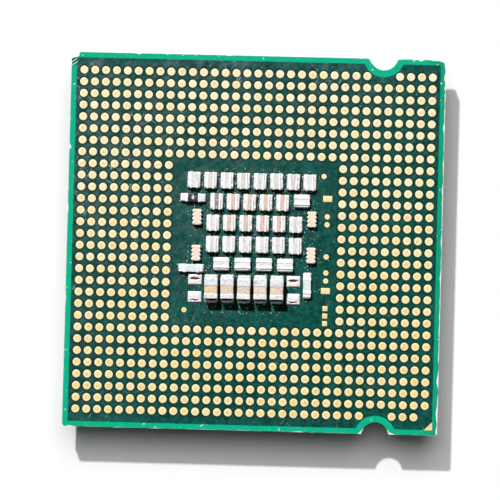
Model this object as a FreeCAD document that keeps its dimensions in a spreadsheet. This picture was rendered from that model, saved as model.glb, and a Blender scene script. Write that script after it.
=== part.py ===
import FreeCAD, Part
import Sketcher
import math
import os

# A land-grid processor package, lying on its metal lid with the lands up.
# The origin is the centre of the lid's outer face, +Z points from the lid to the lands,
# and +X is along the 33 land columns. All lengths are in millimetres.

doc = FreeCAD.newDocument("LandGridProcessor")

# ---------------------------------------------------------------- driving sizes

DRIVING_SIZES = [
    ("boardWidth", 37.5, "board, along X"),
    ("boardDepth", 37.5, "board, along Y"),
    ("boardCorner", 0.3, "corner radius of every board layer"),
    ("notchRadius", 1.37, "key notch"),
    ("notchFromMiddle", 12.535, "key notch centre, from the board's middle"),
    ("notchBeyondEdge", 0.22, "key notch centre, beyond the board's edge"),
    ("coreThickness", 0.75, "glass-epoxy core"),
    ("innerFilm", 0.132, "build-up films between the core and a plane"),
    ("planeThickness", 0.018, "copper plane"),
    ("outerFilm", 0.03, "build-up film over a plane"),
    ("maskThickness", 0.03, "solder mask"),
    ("planeSetback", 0.55, "plane's edge, inside the board's edge"),
    ("padThickness", 0.015, "lands, pads and marks"),
    ("maskClearance", 0.045, "gap between a pad and the edge of its mask opening"),
    ("landRadius", 0.43, "one land"),
    ("landColumns", 33, "columns of lands"),
    ("landRows", 30, "rows of lands"),
    ("landEdgeX", 1.31, "outermost land column, from the board's edge"),
    ("landEdgeY", 1.785, "outermost land row, from the board's edge"),
    ("frameColumns", 9, "land columns on each side of the empty middle"),
    ("frameRows", 8, "land rows above and below the empty middle"),
    ("keyColumn", 27, "first column left out at a key notch"),
    ("keyGap", 2, "columns left out at a key notch"),
    ("triangleLeg", 0.8, "pin-one triangle"),
    ("markFromMiddle", 6.83, "fiducials, from the board's middle, both ways"),
    ("markRadius", 0.29, "fiducial"),
    ("testPadX", 7.25, "column of test pads"),
    ("testPadRadius", 0.3, "round test pad"),
    ("testPadPitch", 0.8, "two round test pads that stand together"),
    ("testPadsHigh", 2.01, "lower of the upper round test pads"),
    ("testPadAlone", -1.2, "round test pad that stands alone"),
    ("testPadsLow", -3.6, "lower of the bottom round test pads"),
    ("oblongPadWidth", 0.91, "oblong test pad, along X"),
    ("oblongPadDepth", 0.6, "oblong test pad, along Y"),
    ("oblongPadFromMiddle", 4.6, "oblong test pads, from the middle along Y"),
    ("indexSquare", 0.5, "side of one index square"),
    ("indexPitch", 0.75, "between index squares"),
    ("indexLowest", -7.85, "lowest index square"),
    ("indexCount", 3, "index squares"),
    ("chipStandoff", 0.04, "solder under a chip's terminal"),
    ("chipPlating", 0.02, "metal of a terminal"),
    ("padSide", 0.03, "pad beyond its terminal, at each side"),
    ("solderLip", 0.03, "solder at its outer edge"),
    ("solderEase", 1.25, "radius of a solder fillet over its chord"),
    ("wideCapSpan", 0.8, "low capacitor, terminal to terminal"),
    ("wideCapBreadth", 1.6, "low capacitor, along its terminals"),
    ("wideCapHeight", 0.5, "low capacitor"),
    ("wideCapBand", 0.2, "low capacitor's terminal on its top"),
    ("wideCapToe", 0.27, "low capacitor's solder beyond the terminal"),
    ("wideCapClimb", 0.34, "low capacitor's solder up the terminal"),
    ("wideCapTuck", 0.03, "low capacitor's pad under the ceramic"),
    ("tallCapSpan", 2.0, "tall capacitor, terminal to terminal"),
    ("tallCapBreadth", 1.3, "tall capacitor, along its terminals"),
    ("tallCapHeight", 1.35, "tall capacitor"),
    ("tallCapBand", 0.55, "tall capacitor's terminal on its top"),
    ("tallCapToe", 0.42, "tall capacitor's solder beyond the terminal"),
    ("tallCapClimb", 0.62, "tall capacitor's solder up the terminal"),
    ("tallCapTuck", 0.115, "tall capacitor's pad under the ceramic"),
    ("resistorSpan", 1.6, "resistor, terminal to terminal"),
    ("resistorBreadth", 0.8, "resistor, along its terminals"),
    ("resistorHeight", 0.45, "resistor"),
    ("resistorBand", 0.3, "resistor's terminal on its top"),
    ("resistorToe", 0.5, "resistor's solder beyond the terminal"),
    ("resistorClimb", 0.32, "resistor's solder up the terminal"),
    ("resistorTuck", 0.03, "resistor's pad under the body"),
    ("arraySpan", 0.8, "array, terminal to terminal"),
    ("arrayBreadth", 1.6, "array, along its row of terminals"),
    ("arrayHeight", 0.5, "array"),
    ("arrayBand", 0.18, "array's terminal on its top"),
    ("arrayToe", 0.1, "array's solder beyond the terminal"),
    ("arrayClimb", 0.22, "array's solder up the terminal"),
    ("arrayTuck", 0.02, "array's pad under the body"),
    ("arrayTerminal", 0.2, "breadth of one array terminal"),
    ("arrayTerminalPitch", 0.4, "between array terminals"),
    ("arrayTerminalCount", 4, "terminals on each side of an array"),
    ("rowOneLeft", -6.12, "first capacitor of row one"),
    ("rowOneUp", 6.19, "row one"),
    ("rowOneCount", 8, "capacitors in row one"),
    ("rowTwoLeft", -3.84, "first capacitor of row two"),
    ("rowTwoUp", 4.07, "row two"),
    ("rowTwoCount", 5, "capacitors in row two"),
    ("rowThreeLeft", -4.13, "first capacitor of rows three and four"),
    ("rowThreeUp", 1.95, "row three"),
    ("rowFourUp", -0.18, "row four"),
    ("rowThreeCount", 6, "capacitors in rows three and four"),
    ("wideCapPitch", 1.65, "between the low capacitors of a row"),
    ("turnedLeft", -3.18, "first turned capacitor of the row"),
    ("turnedUp", -2.15, "row of turned capacitors"),
    ("turnedPitch", 2.12, "between turned capacitors"),
    ("turnedCount", 4, "turned capacitors in the row"),
    ("loneTurnedX", 4.7, "turned capacitor beside row two"),
    ("loneTurnedY", 4.33, "turned capacitor beside row two"),
    ("tallLeft", -4.16, "first tall capacitor"),
    ("tallUp", -4.61, "row of tall capacitors"),
    ("tallPitch", 1.64, "between sites of the tall row"),
    ("tallCount", 5, "tall capacitors"),
    ("emptyCapHeight", 0.07, "solder on the pads of an empty site"),
    ("emptyCapSlope", 0.05, "bevel of that solder"),
    ("resistorLeftX", -6.2, "both horizontal resistors"),
    ("resistorUpperY", 4.41, "upper resistor"),
    ("resistorLowerY", -2.64, "lower resistor"),
    ("resistorUprightX", 5.43, "upright resistor"),
    ("resistorUprightY", -4.09, "upright resistor"),
    ("arrayFromMiddle", 5.74, "arrays, from the middle along X"),
    ("arrayUpperY", 2.5, "upper arrays"),
    ("arrayLowerY", -1.09, "lower arrays"),
    ("lidThickness", 2.0, "lid, outer face to cavity"),
    ("lidHeight", 3.0, "lid, outer face to foot"),
    ("lidSetback", 1.75, "lid's edge, inside the board's edge"),
    ("lidCorner", 1.5, "corner radius of the lid's flange"),
    ("lidStep", 0.9, "raised face above the flange"),
    ("shoulderX", 2.8, "flange beside the raised face, along X"),
    ("shoulderY", 1.3, "flange beside the raised face, along Y"),
    ("plateauCorner", 2.0, "corner radius of the raised face"),
    ("plateauEase", 0.2, "rounded rim of the raised face"),
    ("footWidth", 3.0, "flange that stands on the board"),
    ("cavityCorner", 2.0, "corner radius of the cavity"),
    ("ventRadius", 0.4, "vent hole"),
    ("ventInset", 1.5, "vent hole, from the cavity's walls"),
    ("sealantThickness", 0.13, "sealant between the lid and the board"),
    ("sealantInset", 0.4, "sealant, inside the lid's edge"),
    ("sealantWidth", 2.4, "sealant"),
    ("dieWidth", 13.0, "die, along X"),
    ("dieDepth", 11.0, "die, along Y"),
    ("dieThickness", 0.78, "die"),
    ("thermalSpread", 0.3, "thermal interface beyond the die"),
    ("bumpHeight", 0.07, "gap between the die and the solder mask"),
    ("bumpRadius", 0.12, "one solder bump"),
    ("bumpMargin", 0.9, "outermost bumps, from the die's edge"),
    ("bumpColumns", 15, "columns of bumps"),
    ("bumpRows", 13, "rows of bumps"),
    ("underfillReach", 1.1, "underfill on the board, beyond the die"),
    ("underfillLip", 0.12, "underfill on the die's side, beyond the die"),
    ("underfillClimb", 0.5, "underfill, from the board up the die's side"),
]

# Heights, pitches and half sizes that follow from the driving sizes.
DERIVED_SIZES = [
    ("dieSideFace", "Sizes.lidHeight + Sizes.sealantThickness"),
    ("dieSideFilm", "dieSideFace + Sizes.maskThickness"),
    ("buildUp", "Sizes.innerFilm + Sizes.planeThickness + Sizes.outerFilm"),
    ("coreBottom", "dieSideFilm + buildUp"),
    ("coreTop", "coreBottom + Sizes.coreThickness"),
    ("landPlane", "coreTop + Sizes.innerFilm"),
    ("landSideFilm", "coreTop + buildUp"),
    ("padTop", "landSideFilm + Sizes.padThickness"),
    ("maskTop", "landSideFilm + Sizes.maskThickness"),
    ("chipSeat", "padTop + Sizes.chipStandoff"),
    ("coverFilm", "Sizes.planeThickness + Sizes.outerFilm"),
    ("landLeft", "Sizes.landEdgeX - Sizes.boardWidth / 2"),
    ("landLow", "Sizes.landEdgeY - Sizes.boardDepth / 2"),
    ("landPitchX", "-2 * landLeft / (Sizes.landColumns - 1)"),
    ("landPitchY", "-2 * landLow / (Sizes.landRows - 1)"),
    ("dieFace", "dieSideFace - Sizes.bumpHeight"),
    ("dieBack", "dieFace - Sizes.dieThickness"),
    ("flangeWidth", "Sizes.boardWidth - 2 * Sizes.lidSetback"),
    ("flangeDepth", "Sizes.boardDepth - 2 * Sizes.lidSetback"),
    ("cavityWidth", "flangeWidth - 2 * Sizes.footWidth"),
    ("cavityDepth", "flangeDepth - 2 * Sizes.footWidth"),
    ("bumpPitchX", "(Sizes.dieWidth - 2 * Sizes.bumpMargin) / (Sizes.bumpColumns - 1)"),
    ("bumpPitchY", "(Sizes.dieDepth - 2 * Sizes.bumpMargin) / (Sizes.bumpRows - 1)"),
]

sizes = doc.addObject("Spreadsheet::Sheet", "Sizes")
for line, (alias, number, note) in enumerate(DRIVING_SIZES, start=1):
    sizes.set(f"A{line}", alias)
    sizes.set(f"B{line}", str(number))
    sizes.setAlias(f"B{line}", alias)
    sizes.set(f"C{line}", note)

levels = doc.addObject("Spreadsheet::Sheet", "Levels")
for line, (alias, formula) in enumerate(DERIVED_SIZES, start=1):
    levels.set(f"A{line}", alias)
    levels.set(f"B{line}", "=" + formula)
    levels.setAlias(f"B{line}", alias)
doc.recompute()

nodes = []  # the objects that are written, one file each


def measure(expression):
    return float(sizes.evalExpression(expression))


def count(alias):
    return int(measure("Sizes." + alias))


def node(item, label):
    item.Label = label
    nodes.append(item)
    return item


# ---------------------------------------------------------------- sketches

def originPart(body, role):
    for feature in body.Origin.OriginFeatures:
        if feature.Role == role:
            return feature
    raise ValueError(role)


def newBody(name):
    body = doc.addObject("PartDesign::Body", name)
    body.AllowCompound = True
    return body


def newSketch(body, level, plane="XY_Plane"):
    # level is the sketch's distance along the plane's own normal
    sketch = body.newObject("Sketcher::SketchObject", "Sketch")
    sketch.AttachmentSupport = [(originPart(body, plane), "")]
    sketch.MapMode = "FlatFace"
    sketch.setExpression(".AttachmentOffset.Base.z", level)
    return sketch


def bind(sketch, kind, geometry, point, expression):
    index = sketch.addConstraint(
        Sketcher.Constraint(kind, -1, 1, geometry, point, measure(expression)))
    sketch.setExpression(f"Constraints[{index}]", expression)


def arcThrough(start, end, radius, side):
    # the shorter arc of this radius, bulging to the right of start-to-end for side 1, to the left for -1
    chord = end - start
    half = chord.Length / 2
    rise = radius - math.sqrt(max(radius * radius - half * half, 0))
    outward = FreeCAD.Vector(chord.y, -chord.x, 0).normalize()
    return Part.Arc(start, (start + end) / 2 + outward * rise * side, end)


def outline(sketch, corners, arcs=None):
    # corners are (x, y) expressions; arcs[i] is (radius, side) of the edge that leaves corner i
    arcs = arcs or {}
    points = [FreeCAD.Vector(measure(x), measure(y), 0) for x, y in corners]
    edges = []
    for i, start in enumerate(points):
        end = points[(i + 1) % len(points)]
        if i in arcs:
            radius, side = arcs[i]
            edge = sketch.addGeometry(arcThrough(start, end, measure(radius), side), False)
            index = sketch.addConstraint(Sketcher.Constraint("Radius", edge, measure(radius)))
            sketch.setExpression(f"Constraints[{index}]", radius)
        else:
            edge = sketch.addGeometry(Part.LineSegment(start, end), False)
        # an arc may be stored the other way round
        toFirst, toSecond = [(sketch.getPoint(edge, end) - start).Length for end in (1, 2)]
        first = 1 if toFirst < toSecond else 2
        edges.append((edge, first, 3 - first))
    for i, (edge, first, last) in enumerate(edges):
        following = edges[(i + 1) % len(edges)]
        sketch.addConstraint(Sketcher.Constraint("Coincident", edge, last, following[0], following[1]))
        bind(sketch, "DistanceX", edge, first, corners[i][0])
        bind(sketch, "DistanceY", edge, first, corners[i][1])


def rectangle(sketch, x, y, width, depth):
    left, right = f"{x} - ({width}) / 2", f"{x} + ({width}) / 2"
    low, high = f"{y} - ({depth}) / 2", f"{y} + ({depth}) / 2"
    outline(sketch, [(left, low), (right, low), (right, high), (left, high)])


def roundedRectangle(sketch, width, depth, radius):
    right, high = f"({width}) / 2", f"({depth}) / 2"
    inRight, inHigh = f"{right} - ({radius})", f"{high} - ({radius})"
    outline(sketch, [
        (f"-({inRight})", f"-{high}"), (inRight, f"-{high}"),
        (right, f"-({inHigh})"), (right, inHigh),
        (inRight, high), (f"-({inRight})", high),
        (f"-{right}", inHigh), (f"-{right}", f"-({inHigh})"),
    ], {corner: (radius, 1) for corner in (1, 3, 5, 7)})


def circle(sketch, x, y, radius):
    ring = Part.Circle(FreeCAD.Vector(measure(x), measure(y), 0), FreeCAD.Vector(0, 0, 1), measure(radius))
    edge = sketch.addGeometry(ring, False)
    bind(sketch, "DistanceX", edge, 3, x)
    bind(sketch, "DistanceY", edge, 3, y)
    index = sketch.addConstraint(Sketcher.Constraint("Radius", edge, measure(radius)))
    sketch.setExpression(f"Constraints[{index}]", radius)


# ---------------------------------------------------------------- features

def pad(body, sketch, length, bothWays=False):
    feature = body.newObject("PartDesign::Pad", "Pad")
    feature.Profile = sketch
    feature.setExpression("Length", length)
    if bothWays:
        feature.SideType = "Symmetric"
    sketch.Visibility = False
    return feature


def pocketUp(body, sketch, depth):
    # cuts from the sketch towards +Z, and proves that it has cut
    before = body.Shape.Volume
    feature = body.newObject("PartDesign::Pocket", "Pocket")
    feature.Profile = sketch
    feature.setExpression("Length", depth)
    feature.Reversed = True
    doc.recompute()
    if body.Shape.Volume > before - 1e-6:
        raise ValueError("pocket cut nothing: " + body.Name)
    return feature


def repeat(body, feature, columns, pitchX, rows, pitchY):
    if columns * rows == 1:
        return feature
    pattern = body.newObject("PartDesign::LinearPattern", "Pattern")
    pattern.Originals = [feature]
    pattern.Direction = (originPart(body, "X_Axis"), [""])
    pattern.Occurrences = columns
    pattern.setExpression("Length", f"{max(columns - 1, 1)} * {pitchX}")
    pattern.Direction2 = (originPart(body, "Y_Axis"), [""])
    pattern.Occurrences2 = rows
    pattern.setExpression("Length2", f"{max(rows - 1, 1)} * {pitchY}")
    body.Tip = pattern
    return pattern


def block(name, x, y, bottom, width, depth, height):
    box = doc.addObject("Part::Box", name)
    box.setExpression("Length", width)
    box.setExpression("Width", depth)
    box.setExpression("Height", height)
    box.setExpression(".Placement.Base.x", f"{x} - ({width}) / 2")
    box.setExpression(".Placement.Base.y", f"{y} - ({depth}) / 2")
    box.setExpression(".Placement.Base.z", bottom)
    return box


def cut(base, tool, name):
    piece = doc.addObject("Part::Cut", name)
    piece.Base = base
    piece.Tool = tool
    return piece


def together(items, name):
    group = doc.addObject("Part::Compound", name)
    group.Links = items
    return group


# ---------------------------------------------------------------- board layers

def boardOutline(sketch, setback):
    # a square with rounded corners and a key notch in its two Y edges, all moved in by the setback
    right, high = f"(Sizes.boardWidth / 2 - {setback})", f"(Sizes.boardDepth / 2 - {setback})"
    inRight, inHigh = f"({right} - Sizes.boardCorner)", f"({high} - Sizes.boardCorner)"
    notch = f"(Sizes.notchRadius + {setback})"
    halfMouth = f"sqrt({notch}^2 - (Sizes.notchBeyondEdge + {setback})^2)"
    mouthLeft, mouthRight = f"Sizes.notchFromMiddle - {halfMouth}", f"Sizes.notchFromMiddle + {halfMouth}"
    corner = ("Sizes.boardCorner", 1)
    outline(sketch, [
        (f"-{inRight}", f"-{high}"), (mouthLeft, f"-{high}"),
        (mouthRight, f"-{high}"), (inRight, f"-{high}"),
        (right, f"-{inHigh}"), (right, inHigh),
        (inRight, high), (mouthRight, high), (mouthLeft, high), (f"-{inRight}", high),
        (f"-{right}", inHigh), (f"-{right}", f"-{inHigh}"),
    ], {1: (notch, -1), 3: corner, 5: corner, 7: (notch, -1), 9: corner, 11: corner})


def boardLayer(name, bottom, height, setback="0"):
    body = newBody(name)
    sketch = newSketch(body, bottom)
    boardOutline(sketch, setback)
    pad(body, sketch, height)
    return body


def makeBoard():
    node(boardLayer("CoreLaminate", "Levels.coreBottom", "Sizes.coreThickness"), "core_laminate")
    node(boardLayer("LandSideInnerFilm", "Levels.coreTop", "Sizes.innerFilm"), "land_side_inner_film")
    node(boardLayer("DieSideInnerFilm", "Levels.coreBottom - Sizes.innerFilm", "Sizes.innerFilm"),
         "die_side_inner_film")
    landPlane = node(boardLayer("LandSidePlane", "Levels.landPlane", "Sizes.planeThickness",
                                "Sizes.planeSetback"), "land_side_copper_plane")
    diePlane = node(boardLayer("DieSidePlane", "Levels.coreBottom - Sizes.innerFilm - Sizes.planeThickness",
                               "Sizes.planeThickness", "Sizes.planeSetback"), "die_side_copper_plane")
    landFilm = boardLayer("LandSideFilmBlank", "Levels.landPlane", "Levels.coverFilm")
    node(cut(landFilm, landPlane, "LandSideOuterFilm"), "land_side_outer_film")
    dieFilm = boardLayer("DieSideFilmBlank", "Levels.dieSideFilm", "Levels.coverFilm")
    node(cut(dieFilm, diePlane, "DieSideOuterFilm"), "die_side_outer_film")


# ---------------------------------------------------------------- lands

def landX(column):
    return f"(Levels.landLeft + {column} * Levels.landPitchX)"


def landY(row):
    return f"(Levels.landLow + {row} * Levels.landPitchY)"


def landBlocks():
    # each block is runs of (first column, first row, columns, rows), with rows counted upwards
    columns, rows = count("landColumns"), count("landRows")
    sideColumns, endRows = count("frameColumns"), count("frameRows")
    key, afterKey = count("keyColumn"), count("keyColumn") + count("keyGap")
    middleRows = rows - 2 * endRows
    return {
        "top": [(0, rows - endRows, columns, endRows - 1), (0, rows - 1, key, 1),
                (afterKey, rows - 1, columns - afterKey, 1)],
        # the pin-one triangle takes the place of the bottom row's last land
        "bottom": [(0, 1, columns, endRows - 1), (0, 0, key, 1), (afterKey, 0, columns - afterKey - 1, 1)],
        "left": [(0, endRows, sideColumns, middleRows)],
        "right": [(columns - sideColumns, endRows, sideColumns, middleRows)],
    }


def landField(name, runs):
    body = newBody(name)
    for column, row, columns, rows in runs:
        sketch = newSketch(body, "Levels.landSideFilm")
        circle(sketch, landX(column), landY(row), "Sizes.landRadius")
        disc = pad(body, sketch, "Sizes.padThickness")
        repeat(body, disc, columns, "Levels.landPitchX", rows, "Levels.landPitchY")
    return body


# ---------------------------------------------------------------- chip components

# A run is one chip, or a grid of them: (x, y, columns, pitch along X, rows, pitch along Y).

def chipRow(left, up, columns, pitch):
    return [(f"Sizes.{left}", f"Sizes.{up}", count(columns), f"Sizes.{pitch}", 1, "1")]


def lone(x, y):
    return [(x, y, 1, "1", 1, "1")]


def arraySites():
    spread = "Sizes.arrayFromMiddle"
    return [(x, y) for x in (f"-{spread}", spread) for y in ("Sizes.arrayUpperY", "Sizes.arrayLowerY")]


def arrayTerminalRuns():
    runs = []
    for x, y in arraySites():
        low = f"({y} - Sizes.arrayTerminalPitch * (Sizes.arrayTerminalCount - 1) / 2)"
        runs.append((x, low, 1, "1", count("arrayTerminalCount"), "Sizes.arrayTerminalPitch"))
    return runs


def bodyRuns(kind, runs):
    if kind == "array":
        return [lone(x, y)[0] for x, y in arraySites()]
    return runs


# name of the group, kind of chip, direction from terminal to terminal, runs
CHIP_GROUPS = [
    ("row_1_capacitor", "wideCap", "x",
     chipRow("rowOneLeft", "rowOneUp", "rowOneCount", "wideCapPitch")),
    ("row_2_capacitor", "wideCap", "x",
     chipRow("rowTwoLeft", "rowTwoUp", "rowTwoCount", "wideCapPitch")),
    ("row_3_capacitor", "wideCap", "x",
     chipRow("rowThreeLeft", "rowThreeUp", "rowThreeCount", "wideCapPitch")),
    ("row_4_capacitor", "wideCap", "x",
     chipRow("rowThreeLeft", "rowFourUp", "rowThreeCount", "wideCapPitch")),
    ("turned_capacitor", "wideCap", "y", chipRow("turnedLeft", "turnedUp", "turnedCount", "turnedPitch")
     + lone("Sizes.loneTurnedX", "Sizes.loneTurnedY")),
    ("tall_capacitor", "tallCap", "y", chipRow("tallLeft", "tallUp", "tallCount", "tallPitch")),
    ("lying_resistor", "resistor", "x", lone("Sizes.resistorLeftX", "Sizes.resistorUpperY")
     + lone("Sizes.resistorLeftX", "Sizes.resistorLowerY")),
    ("upright_resistor", "resistor", "y", lone("Sizes.resistorUprightX", "Sizes.resistorUprightY")),
    ("chip_array", "array", "x", arrayTerminalRuns()),
]


def emptySites():
    return (lone("Sizes.tallLeft - Sizes.tallPitch", "Sizes.tallUp")
            + lone("Sizes.tallLeft + Sizes.tallPitch * Sizes.tallCount", "Sizes.tallUp"))


def terminalBreadth(kind):
    return "Sizes.arrayTerminal" if kind == "array" else f"Sizes.{kind}Breadth"


def turned(axis, along, across):
    return (along, across) if axis == "x" else (across, along)


def plated(kind, size):
    # the bare chip inside its plated terminals
    return f"(Sizes.{kind}{size} - 2 * Sizes.chipPlating)"


def fromCentre(axis, x, y, offset):
    return (f"({x} + {offset})", y) if axis == "x" else (x, f"({y} + {offset})")


def chipBodies(name, kind, axis, runs):
    body = newBody(name)
    width, depth = turned(axis, plated(kind, "Span"), plated(kind, "Breadth"))
    for x, y, columns, pitchX, rows, pitchY in runs:
        sketch = newSketch(body, "Levels.chipSeat + Sizes.chipPlating")
        rectangle(sketch, x, y, width, depth)
        slab = pad(body, sketch, plated(kind, "Height"))
        repeat(body, slab, columns, pitchX, rows, pitchY)
    return body


def terminalBlocks(name, kind, axis, runs):
    body = newBody(name)
    width, depth = turned(axis, f"Sizes.{kind}Band", terminalBreadth(kind))
    for x, y, columns, pitchX, rows, pitchY in runs:
        sketch = newSketch(body, "Levels.chipSeat")
        for side in ("-1", "1"):
            offset = f"{side} * (Sizes.{kind}Span - Sizes.{kind}Band) / 2"
            rectangle(sketch, *fromCentre(axis, x, y, offset), width, depth)
        slab = pad(body, sketch, f"Sizes.{kind}Height")
        repeat(body, slab, columns, pitchX, rows, pitchY)
    return body


def solderProfile(sketch, kind, middle, side):
    # under the terminal and up its end, with a hollow fillet out to a thin lip
    inner = f"(Sizes.{kind}Span / 2 - Sizes.{kind}Band)"
    end = f"Sizes.{kind}Span / 2"
    toe = f"({end} + Sizes.{kind}Toe)"
    base, seat = "Levels.padTop", "Levels.chipSeat"
    lip, crest = "Levels.padTop + Sizes.solderLip", f"Levels.chipSeat + Sizes.{kind}Climb"
    chord = f"sqrt(Sizes.{kind}Toe^2 + ({crest} - ({lip}))^2)"
    corners = [(inner, base), (toe, base), (toe, lip), (end, crest), (end, seat), (inner, seat)]
    outline(sketch, [(f"{middle} + {side} * {reach}", height) for reach, height in corners],
            {2: (f"Sizes.solderEase * {chord}", -side)})


def solderFillets(name, kind, axis, runs):
    body = newBody(name)
    for x, y, columns, pitchX, rows, pitchY in runs:
        if axis == "x":
            sketch, middle = newSketch(body, f"-({y})", "XZ_Plane"), x
        else:
            sketch, middle = newSketch(body, x, "YZ_Plane"), y
        for side in (-1, 1):
            solderProfile(sketch, kind, middle, side)
        fillets = pad(body, sketch, terminalBreadth(kind), bothWays=True)
        repeat(body, fillets, columns, pitchX, rows, pitchY)
    return body


def padPairs(body, kind, axis, runs):
    inner = f"(Sizes.{kind}Span / 2 - Sizes.{kind}Band - Sizes.{kind}Tuck)"
    outer = f"(Sizes.{kind}Span / 2 + Sizes.{kind}Toe)"
    width, depth = turned(axis, f"{outer} - {inner}", f"{terminalBreadth(kind)} + 2 * Sizes.padSide")
    for x, y, columns, pitchX, rows, pitchY in runs:
        sketch = newSketch(body, "Levels.landSideFilm")
        for side in ("-1", "1"):
            offset = f"{side} * ({inner} + {outer}) / 2"
            rectangle(sketch, *fromCentre(axis, x, y, offset), width, depth)
        pads = pad(body, sketch, "Sizes.padThickness")
        repeat(body, pads, columns, pitchX, rows, pitchY)


def allPads():
    body = newBody("ComponentPads")
    for group, kind, axis, runs in CHIP_GROUPS:
        padPairs(body, kind, axis, runs)
    padPairs(body, "tallCap", "y", emptySites())
    return body


def makeChips():
    for group, kind, axis, runs in CHIP_GROUPS:
        ceramic = {"resistor": "bodies", "array": "body_blocks"}.get(kind, "ceramics")
        chips = chipBodies(group + "_core", kind, axis, bodyRuns(kind, runs))
        blocks = terminalBlocks(group + "_blocks", kind, axis, runs)
        node(chips, f"{group}_{ceramic}")
        node(cut(blocks, chips, group + "_caps"), f"{group}_terminals")
        node(solderFillets(group + "_fillets", kind, axis, runs), f"{group}_solder")
    return node(allPads(), "component_pads")


def makeResistorFilms():
    # one film lies on top of its resistor, the other two face the board
    bottom, top = "Levels.chipSeat", "Levels.chipSeat + Sizes.resistorHeight - Sizes.chipPlating"
    span, breadth = "Sizes.resistorSpan - 2 * Sizes.resistorBand", plated("resistor", "Breadth")
    films = [
        block("UpperFilm", "Sizes.resistorLeftX", "Sizes.resistorUpperY", top, span, breadth,
              "Sizes.chipPlating"),
        block("LowerFilm", "Sizes.resistorLeftX", "Sizes.resistorLowerY", bottom, span, breadth,
              "Sizes.chipPlating"),
        block("UprightFilm", "Sizes.resistorUprightX", "Sizes.resistorUprightY", bottom, breadth, span,
              "Sizes.chipPlating"),
    ]
    node(together(films, "ResistorFilms"), "resistor_films")


def makeEmptySites():
    # the pads of two sites left empty carry a low cap of solder with bevelled sides
    body = newBody("EmptySiteSolder")
    inner = "(Sizes.tallCapSpan / 2 - Sizes.tallCapBand - Sizes.tallCapTuck)"
    outer = "(Sizes.tallCapSpan / 2 + Sizes.tallCapToe)"
    for x, y, columns, pitchX, rows, pitchY in emptySites():
        for side in ("-1", "1"):
            sketch = newSketch(body, "Levels.padTop")
            rectangle(sketch, x, f"({y} + {side} * ({inner} + {outer}) / 2)",
                      "Sizes.tallCapBreadth + 2 * Sizes.padSide", f"{outer} - {inner}")
            cap = pad(body, sketch, "Sizes.emptyCapHeight")
            cap.setExpression("TaperAngle", "-atan(Sizes.emptyCapSlope / Sizes.emptyCapHeight)")
    node(body, "empty_site_solder")


# ---------------------------------------------------------------- gold marks

def roundMarks(name, places, radius):
    body = newBody(name)
    sketch = newSketch(body, "Levels.landSideFilm")
    for x, y in places:
        circle(sketch, x, y, radius)
    pad(body, sketch, "Sizes.padThickness")
    return body


def oblongMarks(name, places, width, depth):
    body = newBody(name)
    sketch = newSketch(body, "Levels.landSideFilm")
    for x, y in places:
        rectangle(sketch, x, y, width, depth)
    pad(body, sketch, "Sizes.padThickness")
    return body


def triangle(name, level):
    # a right-angled triangle that fills one corner of the copper plane
    right = "(Sizes.boardWidth / 2 - Sizes.planeSetback)"
    low = "(Sizes.planeSetback - Sizes.boardDepth / 2)"
    body = newBody(name)
    sketch = newSketch(body, level)
    outline(sketch, [
        (f"{right} - Sizes.triangleLeg", low), (right, low), (right, f"{low} + Sizes.triangleLeg"),
    ])
    pad(body, sketch, "Sizes.padThickness")
    return body


def makeGold():
    # returns every gold piece of the land side that the mask opens over, the component pads apart
    gold = []
    for side, runs in landBlocks().items():
        gold.append(node(landField(f"Lands{side.title()}", runs), f"lands_{side}_block"))
    fiducial, column = "Sizes.markFromMiddle", "Sizes.testPadX"
    dots = [(fiducial, fiducial), (f"-{fiducial}", f"-{fiducial}")]
    gold.append(node(roundMarks("Fiducials", dots, "Sizes.markRadius"), "fiducial_dots"))
    rounds = ["Sizes.testPadsHigh", "Sizes.testPadsHigh + Sizes.testPadPitch", "Sizes.testPadAlone",
              "Sizes.testPadsLow", "Sizes.testPadsLow + Sizes.testPadPitch"]
    gold.append(node(roundMarks("RoundTestPads", [(column, y) for y in rounds], "Sizes.testPadRadius"),
                     "round_test_pads"))
    oblongs = [(column, "Sizes.oblongPadFromMiddle"), (column, "-Sizes.oblongPadFromMiddle")]
    gold.append(node(oblongMarks("OblongTestPads", oblongs, "Sizes.oblongPadWidth", "Sizes.oblongPadDepth"),
                     "oblong_test_pads"))
    squares = [(column, f"Sizes.indexLowest + {step} * Sizes.indexPitch")
               for step in range(count("indexCount"))]
    gold.append(node(oblongMarks("IndexSquares", squares, "Sizes.indexSquare", "Sizes.indexSquare"),
                     "index_squares"))
    gold.append(node(triangle("LandSideTriangle", "Levels.landSideFilm"), "land_side_pin_one_triangle"))
    return gold


# ---------------------------------------------------------------- solder masks

def openingWires(gold):
    # one closed wire round the foot of each gold piece, with square corners
    wires = []
    for piece in gold.Shape.Solids:
        foot = min(piece.Faces, key=lambda face: face.CenterOfMass.z)
        grown = Part.Face(foot.OuterWire).makeOffset2D(measure("Sizes.maskClearance"), 2)
        if grown.Area < foot.Area:
            raise ValueError("mask opening is smaller than its pad: " + gold.Label)
        wires.append(grown.OuterWire)
    return wires


def maskPanels():
    # rectangles that part the mask between land rows, as (left, right, low, high)
    rows, endRows, columns = count("landRows"), count("frameRows"), count("landColumns")
    right, high = measure("Sizes.boardWidth / 2"), measure("Sizes.boardDepth / 2")
    starts = [endRows // 2, endRows, rows - endRows, rows - endRows // 2]
    lines = [-high] + [measure(landY(start - 0.5)) for start in starts] + [high]
    inLeft = measure(landX(count("frameColumns") - 0.5))
    inRight = measure(landX(columns - count("frameColumns") - 0.5))
    panels = []
    for number, (low, upper) in enumerate(zip(lines, lines[1:])):
        sides = [-right, inLeft, inRight, right] if number == 2 else [-right, right]
        panels += [(left, farther, low, upper) for left, farther in zip(sides, sides[1:])]
    return panels


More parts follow.
